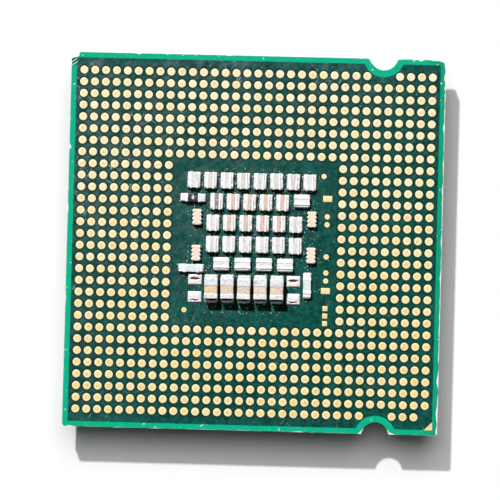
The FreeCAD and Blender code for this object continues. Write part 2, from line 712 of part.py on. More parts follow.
def makeLandSideMask(gold):
    # The mask opens over every gold piece. A thousand pockets cut one by one take minutes,
    # so its panels are drawn with their openings, raised and fused into the one sheet.
    level, depth = measure("Levels.landSideFilm"), measure("Sizes.maskThickness")
    blank = boardLayer("LandSideMaskBlank", "Levels.landSideFilm", "Sizes.maskThickness")
    doc.recompute()
    foot = min(blank.Shape.Faces, key=lambda face: face.CenterOfMass.z)
    wires = [wire for item in gold for wire in openingWires(item)]
    pieces = []
    for left, right, low, high in maskPanels():
        window = Part.makePlane(right - left, high - low, FreeCAD.Vector(left, low, level))
        rim = foot.common(window).Faces[0].OuterWire
        holes = [wire for wire in wires
                 if left < wire.BoundBox.Center.x < right and low < wire.BoundBox.Center.y < high]
        sheet = Part.makeFace([rim] + holes, "Part::FaceMakerBullseye")
        pieces.append(sheet.extrude(FreeCAD.Vector(0, 0, depth)))
    mask = doc.addObject("Part::Feature", "LandSideMask")
    mask.Shape = pieces[0].multiFuse(pieces[1:]).Solids[0]
    node(mask, "land_side_solder_mask")


def makeDieSideMask(bumps):
    # opens exactly over the bumps, and with a gap round the pin-one triangle
    mark = node(triangle("DieSideTriangle", "Levels.dieSideFilm - Sizes.padThickness"),
                "die_side_pin_one_triangle")
    doc.recompute()
    window = doc.addObject("Part::Feature", "DieSideWindow")
    gap = Part.Face(openingWires(mark)[0]).extrude(FreeCAD.Vector(0, 0, measure("Sizes.maskThickness")))
    gap.translate(FreeCAD.Vector(0, 0, measure("Levels.dieSideFace") - gap.BoundBox.ZMin))
    window.Shape = gap
    blank = boardLayer("DieSideMaskBlank", "Levels.dieSideFace", "Sizes.maskThickness")
    openings = together([window, bumps], "DieSideOpenings")
    node(cut(blank, openings, "DieSideMask"), "die_side_solder_mask")


# ---------------------------------------------------------------- die and lid

def makeDie():
    die = node(block("Die", "0", "0", "Levels.dieBack", "Sizes.dieWidth", "Sizes.dieDepth",
                     "Sizes.dieThickness"), "silicon_die")
    node(block("ThermalInterface", "0", "0", "Sizes.lidThickness",
               "Sizes.dieWidth + 2 * Sizes.thermalSpread", "Sizes.dieDepth + 2 * Sizes.thermalSpread",
               "Levels.dieBack - Sizes.lidThickness"), "thermal_interface")
    bumps = newBody("DieBumps")
    sketch = newSketch(bumps, "Levels.dieFace")
    circle(sketch, "Sizes.bumpMargin - Sizes.dieWidth / 2", "Sizes.bumpMargin - Sizes.dieDepth / 2",
           "Sizes.bumpRadius")
    bump = pad(bumps, sketch, "Sizes.bumpHeight + Sizes.maskThickness")
    repeat(bumps, bump, count("bumpColumns"), "Levels.bumpPitchX", count("bumpRows"), "Levels.bumpPitchY")
    node(bumps, "die_bumps")
    makeUnderfill(die, bumps)
    return bumps


def makeUnderfill(die, bumps):
    # fills the gap under the die and slopes from its sides down to the board
    body = newBody("UnderfillBlock")
    lower = newSketch(body, "Levels.dieSideFace - Sizes.underfillClimb")
    rectangle(lower, "0", "0", "Sizes.dieWidth + 2 * Sizes.underfillLip",
              "Sizes.dieDepth + 2 * Sizes.underfillLip")
    upper = newSketch(body, "Levels.dieSideFace")
    rectangle(upper, "0", "0", "Sizes.dieWidth + 2 * Sizes.underfillReach",
              "Sizes.dieDepth + 2 * Sizes.underfillReach")
    slope = body.newObject("PartDesign::AdditiveLoft", "Slope")
    slope.Profile = lower
    slope.Sections = [upper]
    slope.Ruled = True
    node(cut(cut(body, die, "UnderfillRound"), bumps, "Underfill"), "underfill")


def makeLid():
    lid = newBody("Lid")
    flange = newSketch(lid, "Sizes.lidStep")
    roundedRectangle(flange, "Levels.flangeWidth", "Levels.flangeDepth", "Sizes.lidCorner")
    pad(lid, flange, "Sizes.lidHeight - Sizes.lidStep")
    plateau = newSketch(lid, "0")
    roundedRectangle(plateau, "Levels.flangeWidth - 2 * Sizes.shoulderX",
                     "Levels.flangeDepth - 2 * Sizes.shoulderY", "Sizes.plateauCorner")
    face = pad(lid, plateau, "Sizes.lidStep")
    doc.recompute()
    rim = []
    for number, edge in enumerate(face.Shape.Edges, start=1):
        if edge.BoundBox.ZMax < 1e-6:
            rim.append(f"Edge{number}")
    eased = lid.newObject("PartDesign::Fillet", "PlateauRim")
    eased.Base = (face, rim)
    eased.setExpression("Radius", "Sizes.plateauEase")
    doc.recompute()
    cavity = newSketch(lid, "Sizes.lidThickness")
    roundedRectangle(cavity, "Levels.cavityWidth", "Levels.cavityDepth", "Sizes.cavityCorner")
    pocketUp(lid, cavity, "Sizes.lidHeight - Sizes.lidThickness")
    vent = newSketch(lid, "0")
    circle(vent, "Sizes.ventInset - Levels.cavityWidth / 2", "Sizes.ventInset - Levels.cavityDepth / 2",
           "Sizes.ventRadius")
    pocketUp(lid, vent, "Sizes.lidThickness")
    node(lid, "lid")


def makeSealant():
    body = newBody("LidSealant")
    outer = newSketch(body, "Sizes.lidHeight")
    roundedRectangle(outer, "Levels.flangeWidth - 2 * Sizes.sealantInset",
                     "Levels.flangeDepth - 2 * Sizes.sealantInset", "Sizes.lidCorner - Sizes.sealantInset")
    pad(body, outer, "Sizes.sealantThickness")
    doc.recompute()
    inner = newSketch(body, "Sizes.lidHeight")
    roundedRectangle(inner, "Levels.flangeWidth - 2 * Sizes.sealantInset - 2 * Sizes.sealantWidth",
                     "Levels.flangeDepth - 2 * Sizes.sealantInset - 2 * Sizes.sealantWidth",
                     "Sizes.cavityCorner")
    pocketUp(body, inner, "Sizes.sealantThickness")
    node(body, "lid_sealant")


# ---------------------------------------------------------------- build, check and write

makeBoard()
goldPieces = makeGold()
goldPieces.append(makeChips())
makeResistorFilms()
makeEmptySites()
makeLandSideMask(goldPieces)
makeDieSideMask(makeDie())
makeLid()
makeSealant()
doc.recompute()

faults = []
for item in doc.Objects:
    if "Invalid" in item.State or "Error" in item.State:
        faults.append(f"{item.Name}: {item.State}")
for item in nodes:
    if item.Shape.isNull() or not item.Shape.isValid() or not item.Shape.Solids:
        faults.append(f"{item.Label}: bad shape")
if faults:
    raise ValueError("; ".join(faults))

os.makedirs("parts", exist_ok=True)
for item in nodes:
    item.Shape.exportStep(f"parts/{item.Label}.step")
    print(f"{item.Label:32s} {len(item.Shape.Solids):4d} solids {item.Shape.Volume:10.4f} mm3")
print(len(nodes), "nodes")
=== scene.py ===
import bpy
import math
import random
import numpy as np
from mathutils import Matrix, Vector, geometry, noise


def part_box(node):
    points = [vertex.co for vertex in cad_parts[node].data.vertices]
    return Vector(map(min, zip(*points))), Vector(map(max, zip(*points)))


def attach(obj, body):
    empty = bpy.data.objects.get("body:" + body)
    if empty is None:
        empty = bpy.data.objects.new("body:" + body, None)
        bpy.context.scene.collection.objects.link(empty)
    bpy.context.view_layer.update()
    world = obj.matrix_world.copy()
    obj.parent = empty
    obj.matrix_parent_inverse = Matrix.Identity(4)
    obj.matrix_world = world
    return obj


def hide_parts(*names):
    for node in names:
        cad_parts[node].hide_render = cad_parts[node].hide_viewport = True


# A land-grid processor lying on its lid, seen from the contact side.

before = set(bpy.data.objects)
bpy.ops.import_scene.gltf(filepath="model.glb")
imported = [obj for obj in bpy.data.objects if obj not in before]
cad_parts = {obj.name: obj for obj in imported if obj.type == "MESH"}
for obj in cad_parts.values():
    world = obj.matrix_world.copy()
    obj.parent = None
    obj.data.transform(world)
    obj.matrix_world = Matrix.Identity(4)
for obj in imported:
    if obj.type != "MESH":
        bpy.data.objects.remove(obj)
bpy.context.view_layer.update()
mm = 0.001


def looseBoxes(nodeName):
    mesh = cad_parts[nodeName].data
    points = np.array([v.co for v in mesh.vertices]) / mm
    keys, owner = np.unique(np.round(points, 4), axis=0, return_inverse=True)
    owner = owner.ravel()
    parent = list(range(len(keys)))

    def root(i):
        while parent[i] != i:
            parent[i] = parent[parent[i]]
            i = parent[i]
        return i

    for face in mesh.polygons:
        corners = [root(owner[v]) for v in face.vertices]
        for other in corners[1:]:
            parent[other] = corners[0]
    groups = {}
    for i in range(len(keys)):
        groups.setdefault(root(i), []).append(keys[i])
    boxes = [(np.min(g, axis=0), np.max(g, axis=0)) for g in groups.values()]
    return sorted(boxes, key=lambda b: (-round(b[0][1], 2), b[0][0]))


def middle(box):
    return (box[0] + box[1]) / 2


def halfSize(box):
    return (box[1] - box[0]) / 2


def roomOf(nodeName):
    low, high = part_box(nodeName)
    return np.array(low) / mm, np.array(high) / mm


def addObject(name, data):
    made = bpy.data.objects.new(name, data)
    bpy.context.scene.collection.objects.link(made)
    return made


class Sheet:
    # collects points and faces of many small bodies into one mesh
    def __init__(self):
        self.points = []
        self.faces = []
        self.smooth = []
        self.tones = []

    def add(self, points, faces, smooth=True, tone=(1.0, 1.0, 0.5)):
        start = len(self.points)
        self.points.extend([tuple(p) for p in points])
        self.faces.extend([[start + i for i in face] for face in faces])
        self.smooth.extend([smooth] * len(faces) if isinstance(smooth, bool) else smooth)
        each = tone if isinstance(tone, list) else [tone] * len(points)
        self.tones.extend([(*t, 1.0) for t in each])

    def build(self, name, slotName, nodes, finish):
        mesh = bpy.data.meshes.new(name)
        mesh.from_pydata([(x * mm, y * mm, z * mm) for x, y, z in self.points], [], self.faces)
        mesh.polygons.foreach_set("use_smooth", self.smooth)
        tone = mesh.color_attributes.new("tone", "FLOAT_COLOR", "POINT")
        tone.data.foreach_set("color", np.array(self.tones, dtype=np.float32).ravel())
        mesh.update()
        piece = addObject(name, mesh)
        mesh.materials.append(finish)
        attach(piece, "root")
        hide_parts(*nodes)
        return piece


def loft(rings, capStart=True, capEnd=True):
    # closed rings of the same length joined into a tube
    size = len(rings[0])
    points = [p for ring in rings for p in ring]
    faces = []
    for r in range(len(rings) - 1):
        a, b = r * size, (r + 1) * size
        for i in range(size):
            j = (i + 1) % size
            faces.append([a + i, a + j, b + j, b + i])
    if capStart:
        faces.append(list(range(size))[::-1])
    if capEnd:
        faces.append([(len(rings) - 1) * size + i for i in range(size)])
    return points, faces


def roundedBlock(low, high, radius, step, bumps=0.0, seed=0.0):
    # a box with rounded edges on a fine grid, and a slightly uneven skin
    low, high = np.array(low, float), np.array(high, float)
    size = high - low
    radius = min(radius, min(size) * 0.49)
    counts = [max(2, int(math.ceil((s - 2 * radius) / step))) for s in size]
    marks = []
    for axis in range(3):
        inner = np.linspace(low[axis] + radius, high[axis] - radius, counts[axis] + 1)
        start = [low[axis], low[axis] + radius * 0.4]
        end = [high[axis] - radius * 0.4, high[axis]]
        marks.append(np.concatenate([start, inner, end]))
    index = {}
    points = []
    faces = []

    def vertex(i, j, k):
        if (i, j, k) not in index:
            p = np.array([marks[0][i], marks[1][j], marks[2][k]])
            core = np.clip(p, low + radius, high - radius)
            away = p - core
            length = np.linalg.norm(away)
            if length > 1e-9:
                p = core + away / length * min(length, radius)
            if bumps:
                at = Vector(p * 5.0) + Vector((seed, seed * 1.7, 0))
                out = away / length if length > 1e-9 else np.zeros(3)
                p = p + out * bumps * (noise.noise(at) - 0.3)
            index[(i, j, k)] = len(points)
            points.append(p)
        return index[(i, j, k)]

    n = [len(m) - 1 for m in marks]
    for a, b, c in ((0, 1, 2), (1, 2, 0), (2, 0, 1)):
        for side in (0, n[c]):
            for i in range(n[a]):
                for j in range(n[b]):
                    corner = []
                    for u, v in ((0, 0), (1, 0), (1, 1), (0, 1)):
                        key = [0, 0, 0]
                        key[a], key[b], key[c] = i + u, j + v, side
                        corner.append(vertex(*key))
                    faces.append(corner if side else corner[::-1])
    return points, faces


def turnAbout(points, centre, angle, shift):
    cosine, sine = math.cos(angle), math.sin(angle)
    turned = []
    for x, y, z in points:
        dx, dy = x - centre[0], y - centre[1]
        turned.append((centre[0] + dx * cosine - dy * sine + shift[0],
                       centre[1] + dx * sine + dy * cosine + shift[1], z + shift[2]))
    return turned


def newFinish(name, roughness=0.5, metallic=0.0, **sockets):
    material = bpy.data.materials.new(name)
    material.use_nodes = True
    shader = material.node_tree.nodes["Principled BSDF"]
    shader.inputs["Roughness"].default_value = roughness
    shader.inputs["Metallic"].default_value = metallic
    for socket, value in sockets.items():
        shader.inputs[socket.replace("_", " ")].default_value = value
    return material, material.node_tree, shader, inMm(material.node_tree)


def put(tree, kind, settings=None, **inputs):
    node = tree.nodes.new(kind)
    for key, value in (settings or {}).items():
        setattr(node, key, value)
    for key, value in inputs.items():
        socket = node.inputs[int(key[1:])] if key[0] == "i" and key[1:].isdigit() else node.inputs[key]
        if isinstance(value, bpy.types.NodeSocket):
            tree.links.new(value, socket)
        else:
            socket.default_value = value
    return node


def calc(tree, operation, a, b=0.0, clamp=False):
    return put(tree, "ShaderNodeMath", {"operation": operation, "use_clamp": clamp}, i0=a, i1=b).outputs[0]


def plus(tree, a, b):
    return calc(tree, "ADD", a, b)


def minus(tree, a, b):
    return calc(tree, "SUBTRACT", a, b)


def times(tree, a, b, clamp=False):
    return calc(tree, "MULTIPLY", a, b, clamp)


def larger(tree, a, b):
    return calc(tree, "MAXIMUM", a, b)


def paint(tree, shader, colour):
    tree.links.new(colour, shader.inputs["Base Color"])


def axesOf(tree, vector):
    return put(tree, "ShaderNodeSeparateXYZ", None, Vector=vector).outputs


def inMm(tree):
    coords = put(tree, "ShaderNodeTexCoord").outputs["Object"]
    return put(tree, "ShaderNodeVectorMath", {"operation": "SCALE"}, i0=coords, Scale=1000.0).outputs[0]


def stretched(tree, place, scale, turn=0.0):
    # turned first, then scaled, so that streaks can run any way
    return put(tree, "ShaderNodeMapping", {"vector_type": "TEXTURE"}, Vector=place, Rotation=(0, 0, turn),
               Scale=tuple(1 / part for part in scale)).outputs[0]


def speckle(tree, place, scale, detail=3.0, rough=0.55):
    return put(tree, "ShaderNodeTexNoise", None, Vector=place, Scale=scale, Detail=detail,
               Roughness=rough).outputs["Fac"]


def waves(tree, place, turn, **inputs):
    leaning = stretched(tree, place, (1.0, 1.0, 1.0), turn)
    return put(tree, "ShaderNodeTexWave", {"wave_type": "BANDS", "bands_direction": "X"}, Vector=leaning,
               Detail=2.0, **inputs).outputs["Fac"]


def between(tree, value, low, high, toLow=0.0, toHigh=1.0):
    return put(tree, "ShaderNodeMapRange", {"interpolation_type": "SMOOTHSTEP"}, Value=value, i1=low, i2=high,
               i3=toLow, i4=toHigh).outputs[0]


def blend(tree, amount, first, second, mode="MIX"):
    node = put(tree, "ShaderNodeMix", {"data_type": "RGBA", "blend_type": mode}, i0=amount)
    for socket, value in ((node.inputs[6], first), (node.inputs[7], second)):
        if isinstance(value, bpy.types.NodeSocket):
            tree.links.new(value, socket)
        else:
            socket.default_value = (*value, 1.0)
    return node.outputs[2]


def relief(tree, shader, height, depth, strength=1.0):
    bump = put(tree, "ShaderNodeBump", None, Strength=strength, Distance=depth * mm, Height=height)
    tree.links.new(bump.outputs[0], shader.inputs["Normal"])


def tone(tree):
    return put(tree, "ShaderNodeVertexColor", {"layer_name": "tone"}).outputs[0]


def toneParts(tree):
    return put(tree, "ShaderNodeSeparateColor", None, Color=tone(tree)).outputs


def roughen(tree, shader, grain, low, high):
    tree.links.new(between(tree, grain, 0.3, 0.7, low, high), shader.inputs["Roughness"])


maskLook = {
    "overPlane": (0.0010, 0.040, 0.031), "overPlaneLight": (0.0040, 0.094, 0.073),
    "rim": (0.0010, 0.39, 0.210), "rimLight": (0.0020, 0.47, 0.265),
    "rimDull": (0.0010, 0.25, 0.135),
    # the hazy colour is dust plus a painted sky reflection
    "trace": (0.008, 0.135, 0.105), "haze": (0.21, 0.21, 0.25),
    # the ring colour is partly painted shade round the land openings
    "scratch": (0.70, 0.76, 0.78), "ring": (0.0010, 0.012, 0.006),
    "crazedX": -18.55, "crazedY": 17.75, "notchMargin": 0.14,
}


def distanceTo(tree, x, y, atX, atY):
    dx, dy = minus(tree, x, atX), minus(tree, y, atY)
    return calc(tree, "SQRT", plus(tree, times(tree, dx, dx), times(tree, dy, dy)))


def fromMiddle(tree, place):
    # how far out in X and in Y, and the larger of the two
    flat = put(tree, "ShaderNodeVectorMath", {"operation": "ABSOLUTE"}, i0=place).outputs[0]
    parts = axesOf(tree, flat)
    return parts[0], parts[1], larger(tree, parts[0], parts[1])


def rimAmount(tree, place):
    # 1 outside the copper plane's edge, 0 over the plane
    _, along, far = fromMiddle(tree, place)
    own = axesOf(tree, place)
    wander = times(tree, speckle(tree, place, 2.0), 0.05)
    edge = between(tree, plus(tree, far, wander), planeHalf, planeHalf + 0.06)
    reach = distanceTo(tree, own[0], along, notchX, notchY)
    limit = notchRadius + boardHalf - planeHalf + maskLook["notchMargin"]
    notch = between(tree, plus(tree, reach, wander), limit, limit + 0.06, 1.0, 0.0)
    return larger(tree, edge, notch), own


def scratches(tree, place, turn, scale, cut):
    lines = speckle(tree, stretched(tree, place, scale, turn), 1.0, 2.0, 0.4)
    return between(tree, lines, cut, cut + 0.03)


def landRingsAndLipShade(tree, own, grid):
    # darkened lacquer close round every land of the grid: partly lacquer over the land's edge, partly painted
    # shade of the opening's lip
    squares = 0.0
    ways = ((own[0], grid["x"], grid["pitchX"]), (own[1], grid["y"], grid["pitchY"]))
    for part, first, pitch in ways:
        steps = calc(tree, "DIVIDE", minus(tree, part, first), pitch)
        off = minus(tree, steps, calc(tree, "ROUND", steps))
        off = times(tree, off, pitch)
        squares = plus(tree, times(tree, off, off), squares)
    reach = calc(tree, "SQRT", squares)
    radius = grid["radius"]
    ring = times(tree, between(tree, reach, radius + 0.09, radius + 0.19, 1.0, 0.0),
                 between(tree, reach, radius - 0.06, radius))
    across = calc(tree, "ABSOLUTE", own[0])
    along = calc(tree, "ABSOLUTE", own[1])
    outside = larger(tree, between(tree, across, grid["innerX"] - 0.05, grid["innerX"]),
                     between(tree, along, grid["innerY"] - 0.05, grid["innerY"]))
    # none where the grid leaves lands out: beyond its edges, at the key notches and in the pin-one corner
    within = times(tree, between(tree, across, grid["outerX"], grid["outerX"] + 0.05, 1.0, 0.0),
                   between(tree, along, grid["outerY"], grid["outerY"] + 0.05, 1.0, 0.0))
    notch = distanceTo(tree, own[0], along, notchX, notchY)
    within = times(tree, within, between(tree, notch, 2.45, 2.6))
    slope = minus(tree, own[0], own[1])
    within = times(tree, within, between(tree, slope, 33.6, 33.7, 1.0, 0.0))
    return times(tree, times(tree, ring, outside), within)


def maskFinish(grid):
    material, tree, shader, place = newFinish("greenSolderMask", 0.3, Specular_IOR_Level=0.2)
    rim, own = rimAmount(tree, place)
    cloud = between(tree, speckle(tree, place, 2.2, 8.0, 0.7), 0.36, 0.62)
    dark = blend(tree, cloud, maskLook["overPlane"], maskLook["overPlaneLight"])
    bright = blend(tree, speckle(tree, place, 1.5), maskLook["rim"], maskLook["rimLight"])
    # duller down the right-hand edge, with a few white flecks
    dull = between(tree, own[0], 16.5, 18.2, 0.0, 0.55)
    bright = blend(tree, dull, bright, maskLook["rimDull"])
    flecks = between(tree, speckle(tree, place, 3.2, 1.0), 0.735, 0.75)
    bright = blend(tree, flecks, bright, maskLook["scratch"])
    # fine traces show through the lacquer as slanting bands of lighter green
    bands = waves(tree, place, -0.78, Scale=1.15, Distortion=1.5)
    patches = between(tree, speckle(tree, place, 0.35, 2.0), 0.5, 0.62, 0.0, 0.5)
    traces = times(tree, bands, patches)
    dark = blend(tree, traces, dark, maskLook["trace"])
    # handling dust together with a painted sky reflection, thickest towards the upper left
    slope = minus(tree, own[1], own[0])
    corner = between(tree, slope, -16.0, 32.0, 0.0, 0.34)
    wiped = stretched(tree, place, (0.7, 1.3, 1.0), 0.7)
    smear = between(tree, speckle(tree, wiped, 1.0, 7.0, 0.65), 0.42, 0.7)
    dustAndSheen = times(tree, corner, plus(tree, smear, 0.12))
    dark = blend(tree, dustAndSheen, dark, maskLook["haze"])
    # the ring round each land is partly painted shade
    dark = blend(tree, times(tree, landRingsAndLipShade(tree, own, grid), 0.5), dark, maskLook["ring"])
    marks = larger(tree, scratches(tree, place, 1.05, (0.8, 12.0, 1.0), 0.69),
                   scratches(tree, place, -0.65, (0.9, 13.0, 1.0), 0.70))
    marks = larger(tree, marks, scratches(tree, place, 0.3, (1.1, 12.0, 1.0), 0.71))
    where = between(tree, speckle(tree, place, 0.22, 2.0), 0.48, 0.62)
    marks = times(tree, marks, where)
    marks = times(tree, marks, between(tree, slope, -5.0, 25.0, 0.25, 1.0))
    # white crumbs of flux, most of them round the components
    near = put(tree, "ShaderNodeVectorMath", {"operation": "LENGTH"}, i0=place).outputs["Value"]
    marks = times(tree, marks, between(tree, near, 8.0, 12.0, 0.15, 1.0))
    crumbCut = between(tree, near, 7.5, 10.0, 0.73, 0.79)
    crumbs = minus(tree, speckle(tree, place, 5.5, 1.0), crumbCut)
    marks = larger(tree, marks, between(tree, crumbs, 0.0, 0.03))
    marks = times(tree, marks, 0.9)
    dark = blend(tree, marks, dark, maskLook["scratch"])
    colour = blend(tree, rim, dark, bright)
    # the lacquer is crazed beside the broken corner
    far = distanceTo(tree, own[0], own[1], maskLook["crazedX"], maskLook["crazedY"])
    crazed = between(tree, far, 0.25, 0.55, 1.0, 0.0)
    tears = waves(tree, place, -1.05, Scale=1.1, Distortion=1.0)
    torn = blend(tree, between(tree, tears, 0.35, 0.6), (0.001, 0.03, 0.025), (0.30, 0.55, 0.48))
    paint(tree, shader, blend(tree, crazed, colour, torn))
    roughen(tree, shader, speckle(tree, place, 1.2, 6.0), 0.26, 0.40)
    height = plus(tree, speckle(tree, place, 6.0, 5.0), times(tree, traces, 0.6))
    relief(tree, shader, height, 0.010, 0.5)
    return material


goldLook = {"pale": (0.99, 0.95, 0.68), "warm": (0.98, 0.74, 0.23), "stain": (0.80, 0.42, 0.12),
            "paintedGlint": (1.0, 0.97, 0.88), "half": 17.0}


def goldFinish():
    # the tone's channels are how warm a land is, how stained, and how far from its middle
    material, tree, shader, place = newFinish("goldPlating", 0.42, 0.22, Specular_IOR_Level=0.4)
    down = between(tree, axesOf(tree, place)[1], -goldLook["half"], goldLook["half"], 1.0, 0.0)
    split = toneParts(tree)
    heart = minus(tree, 1.0, split[2])
    warm = plus(tree, times(tree, down, 0.52), times(tree, split[0], 0.45))
    warm = times(tree, plus(tree, warm, 0.18), plus(tree, heart, 0.32), True)
    colour = blend(tree, warm, goldLook["pale"], goldLook["warm"])
    grain = between(tree, speckle(tree, place, 6.5, 6.0, 0.65), 0.47, 0.62, 0.0, 1.0)
    stain = times(tree, grain, split[1])
    stain = times(tree, stain, plus(tree, heart, 0.15))
    colour = blend(tree, times(tree, stain, 1.0, True), colour, goldLook["stain"])
    # painted glints: small bright specks painted into the gold as highlights
    paintedGlints = between(tree, speckle(tree, place, 9.0, 3.0), 0.58, 0.66, 0.0, 0.75)
    colour = blend(tree, paintedGlints, colour, goldLook["paintedGlint"])
    paint(tree, shader, colour)
    roughen(tree, shader, speckle(tree, place, 14.0, 4.0), 0.34, 0.52)
    relief(tree, shader, speckle(tree, place, 20.0, 4.0), 0.004, 0.6)
    return material


def tinFinish(name, colour, streaks, roughness, lines=0.55, metallic=0.25):
    # the first channel of the tone darkens to a dark brown where it is low
    material, tree, shader, place = newFinish(name, roughness, metallic)
    patch = between(tree, speckle(tree, place, 4.0, 6.0, 0.65), 0.45, 0.7)
    fine = speckle(tree, stretched(tree, place, streaks), 1.0, 6.0, 0.6)
    dull = blend(tree, times(tree, patch, 0.4), colour, tuple(0.66 * c for c in colour))
    line = between(tree, fine, 0.55, 0.63, 0.0, lines)
    unbrowned = blend(tree, line, dull, (0.25, 0.25, 0.27))
    split = toneParts(tree)
    brownDarkening = minus(tree, split[0], times(tree, patch, 0.1))
    brownDarkening = between(tree, brownDarkening, 0.15, 0.75, 1.0, 0.0)
    blush = between(tree, split[1], 0.0, 0.5, 0.65, 0.0)
    unbrowned = blend(tree, blush, unbrowned, (0.90, 0.62, 0.50))
    paint(tree, shader, blend(tree, brownDarkening, unbrowned, (0.075, 0.028, 0.015)))
    roughen(tree, shader, fine, roughness - 0.08, roughness + 0.14)
    relief(tree, shader, plus(tree, fine, speckle(tree, place, 12.0)), 0.012, 0.7)
    return material


def bareEndsWithPaintedShade(material):
    # end faces turned down the board are bare glossy metal, their colour darkened as painted shade where they
    # face away from the lamp; the rest stays matt
    tree = material.node_tree
    shader = tree.nodes["Principled BSDF"]
    normal = put(tree, "ShaderNodeNewGeometry").outputs["Normal"]
    bare = between(tree, axesOf(tree, normal)[1], -0.75, -0.35, 1.0, 0.0)
    was = shader.inputs["Base Color"].links[0].from_socket
    # painted shade: faces turned away from the lamp take a dark grey colour
    paint(tree, shader, blend(tree, times(tree, bare, 0.85), was, (0.17, 0.17, 0.18)))
    tree.links.new(plus(tree, times(tree, bare, 0.75), 0.25), shader.inputs["Metallic"])
    rough = minus(tree, 0.42, times(tree, bare, 0.24))
    tree.links.new(rough, shader.inputs["Roughness"])


def ceramicFinish(name, streaks):
    material, tree, shader, place = newFinish(name, 0.62, Specular_IOR_Level=0.3)
    base = tone(tree)
    streak = between(tree, speckle(tree, stretched(tree, place, streaks), 1.0, 6.0, 0.62), 0.5, 0.66)
    colour = blend(tree, times(tree, streak, 0.6), base, (0.20, 0.20, 0.20))
    chalk = between(tree, speckle(tree, place, 6.0, 5.0, 0.6), 0.52, 0.66, 0.0, 0.75)
    colour = blend(tree, chalk, colour, (0.86, 0.86, 0.86))
    paint(tree, shader, colour)
    relief(tree, shader, speckle(tree, place, 16.0, 6.0), 0.012, 0.8)
    return material


def plainFinish(name, first, second, scale, roughness, metallic=0.0, depth=0.01, **sockets):
    material, tree, shader, place = newFinish(name, roughness, metallic, **sockets)
    mix = between(tree, speckle(tree, place, scale, 6.0), 0.32, 0.68)
    paint(tree, shader, blend(tree, mix, first, second))
    roughen(tree, shader, speckle(tree, place, scale * 2.3, 5.0), roughness - 0.07, roughness + 0.09)
    relief(tree, shader, speckle(tree, place, scale * 4.0, 6.0), depth, 0.7)
    return material


def glazeFinish():
    material, tree, shader, place = newFinish("blackGlaze", 0.32, Coat_Weight=0.3)
    base = blend(tree, between(tree, speckle(tree, place, 7.0, 5.0), 0.4, 0.65), (0.015, 0.015, 0.018),
                 (0.10, 0.10, 0.11))
    paint(tree, shader, blend(tree, toneParts(tree)[0], base, (0.72, 0.74, 0.76)))
    relief(tree, shader, speckle(tree, place, 16.0, 6.0), 0.008, 0.7)
    return material


laminateLook = {"resin": (0.42, 0.43, 0.20), "glass": (0.74, 0.74, 0.55), "ply": 0.105}


def filmFinish():
    # dark over the plane; whitened by handling where it is broken bare at the board's edge
    material, tree, shader, place = newFinish("buildUpFilm", 0.5)
    bare = between(tree, fromMiddle(tree, place)[2], planeHalf - 0.05, planeHalf + 0.05)
    mix = between(tree, speckle(tree, place, 2.5, 6.0), 0.32, 0.68)
    dark = blend(tree, mix, (0.006, 0.022, 0.008), (0.020, 0.045, 0.016))
    white = blend(tree, mix, (0.80, 0.86, 0.82), (0.94, 0.97, 0.95))
    paint(tree, shader, blend(tree, bare, dark, white))
    relief(tree, shader, speckle(tree, place, 10.0, 6.0), 0.01, 0.7)
    return material


def laminateFinish():
    # sawn glass-epoxy: thin bright plies of cloth in a yellow-green resin
    material, tree, shader, place = newFinish("laminateEdge", 0.62)
    own = axesOf(tree, place)
    sway = times(tree, speckle(tree, place, 0.7, 3.0), 0.05)
    turns = times(tree, plus(tree, own[2], sway), 2 * math.pi / laminateLook["ply"])
    plies = between(tree, calc(tree, "SINE", turns), -0.2, 0.8)
    threads = speckle(tree, stretched(tree, place, (7.0, 7.0, 22.0)), 1.0, 4.0)
    colour = blend(tree, times(tree, plies, between(tree, threads, 0.35, 0.65)),
                   laminateLook["resin"], laminateLook["glass"])
    paint(tree, shader, colour)
    relief(tree, shader, plus(tree, threads, times(tree, plies, 0.6)), 0.03, 0.9)
    return material


lidLook = {"nickel": (0.66, 0.65, 0.62), "dull": (0.50, 0.49, 0.47), "rough": 0.27}


def lidFinish():
    material, tree, shader, place = newFinish("nickelPlating", lidLook["rough"], 1.0)
    brushed = speckle(tree, stretched(tree, place, (0.8, 22.0, 6.0)), 1.0, 5.0)
    cloud = between(tree, speckle(tree, place, 0.3, 5.0), 0.35, 0.7)
    scuff = scratches(tree, place, 0.4, (0.5, 18.0, 4.0), 0.7)
    colour = blend(tree, cloud, lidLook["nickel"], lidLook["dull"])
    paint(tree, shader, blend(tree, times(tree, scuff, 0.5), colour, (0.85, 0.84, 0.82)))
    roughen(tree, shader, brushed, 0.2, 0.4)
    relief(tree, shader, brushed, 0.006, 0.5)
    return material


print("stage 1: finishes")
boardHalf = roomOf("core_laminate")[1][0]
planeHalf = roomOf("land_side_copper_plane")[1][0]

# the key notch as the frame has it: mouth, depth and circle, read from the core's outline
corePoints = np.array([v.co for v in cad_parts["core_laminate"].data.vertices]) / mm
inner = corePoints[(abs(corePoints[:, 0]) < boardHalf - 1) & (corePoints[:, 1] > 0)]
mouthLeft, mouthRight = inner[:, 0].min(), inner[:, 0].max()
notchX = (mouthLeft + mouthRight) / 2
notchDepth = boardHalf - inner[:, 1].min()
halfMouth = (mouthRight - mouthLeft) / 2
notchRadius = (halfMouth ** 2 + notchDepth ** 2) / (2 * notchDepth)
notchY = boardHalf + notchRadius - notchDepth

landBoxes = {side: looseBoxes(f"lands_{side}_block") for side in ("top", "bottom", "left", "right")}


def readGrid():
    # first land, pitches, land radius and the empty middle, from the frame's own lands
    centres = [middle(box) for boxes in landBoxes.values() for box in boxes]
    columns = sorted({round(c[0], 3) for c in centres})
    rows = sorted({round(c[1], 3) for c in centres})
    box = landBoxes["top"][0]
    return {"x": columns[0], "y": rows[0], "pitchX": columns[1] - columns[0], "pitchY": rows[1] - rows[0],
            "radius": halfSize(box)[0],
            "outerX": columns[-1] + 0.62, "outerY": rows[-1] + 0.62,
            "innerX": min(abs(middle(box)[0]) for box in landBoxes["left"] + landBoxes["right"]) - 0.55,
            "innerY": min(abs(middle(box)[1]) for box in landBoxes["top"] + landBoxes["bottom"]) - 0.6}


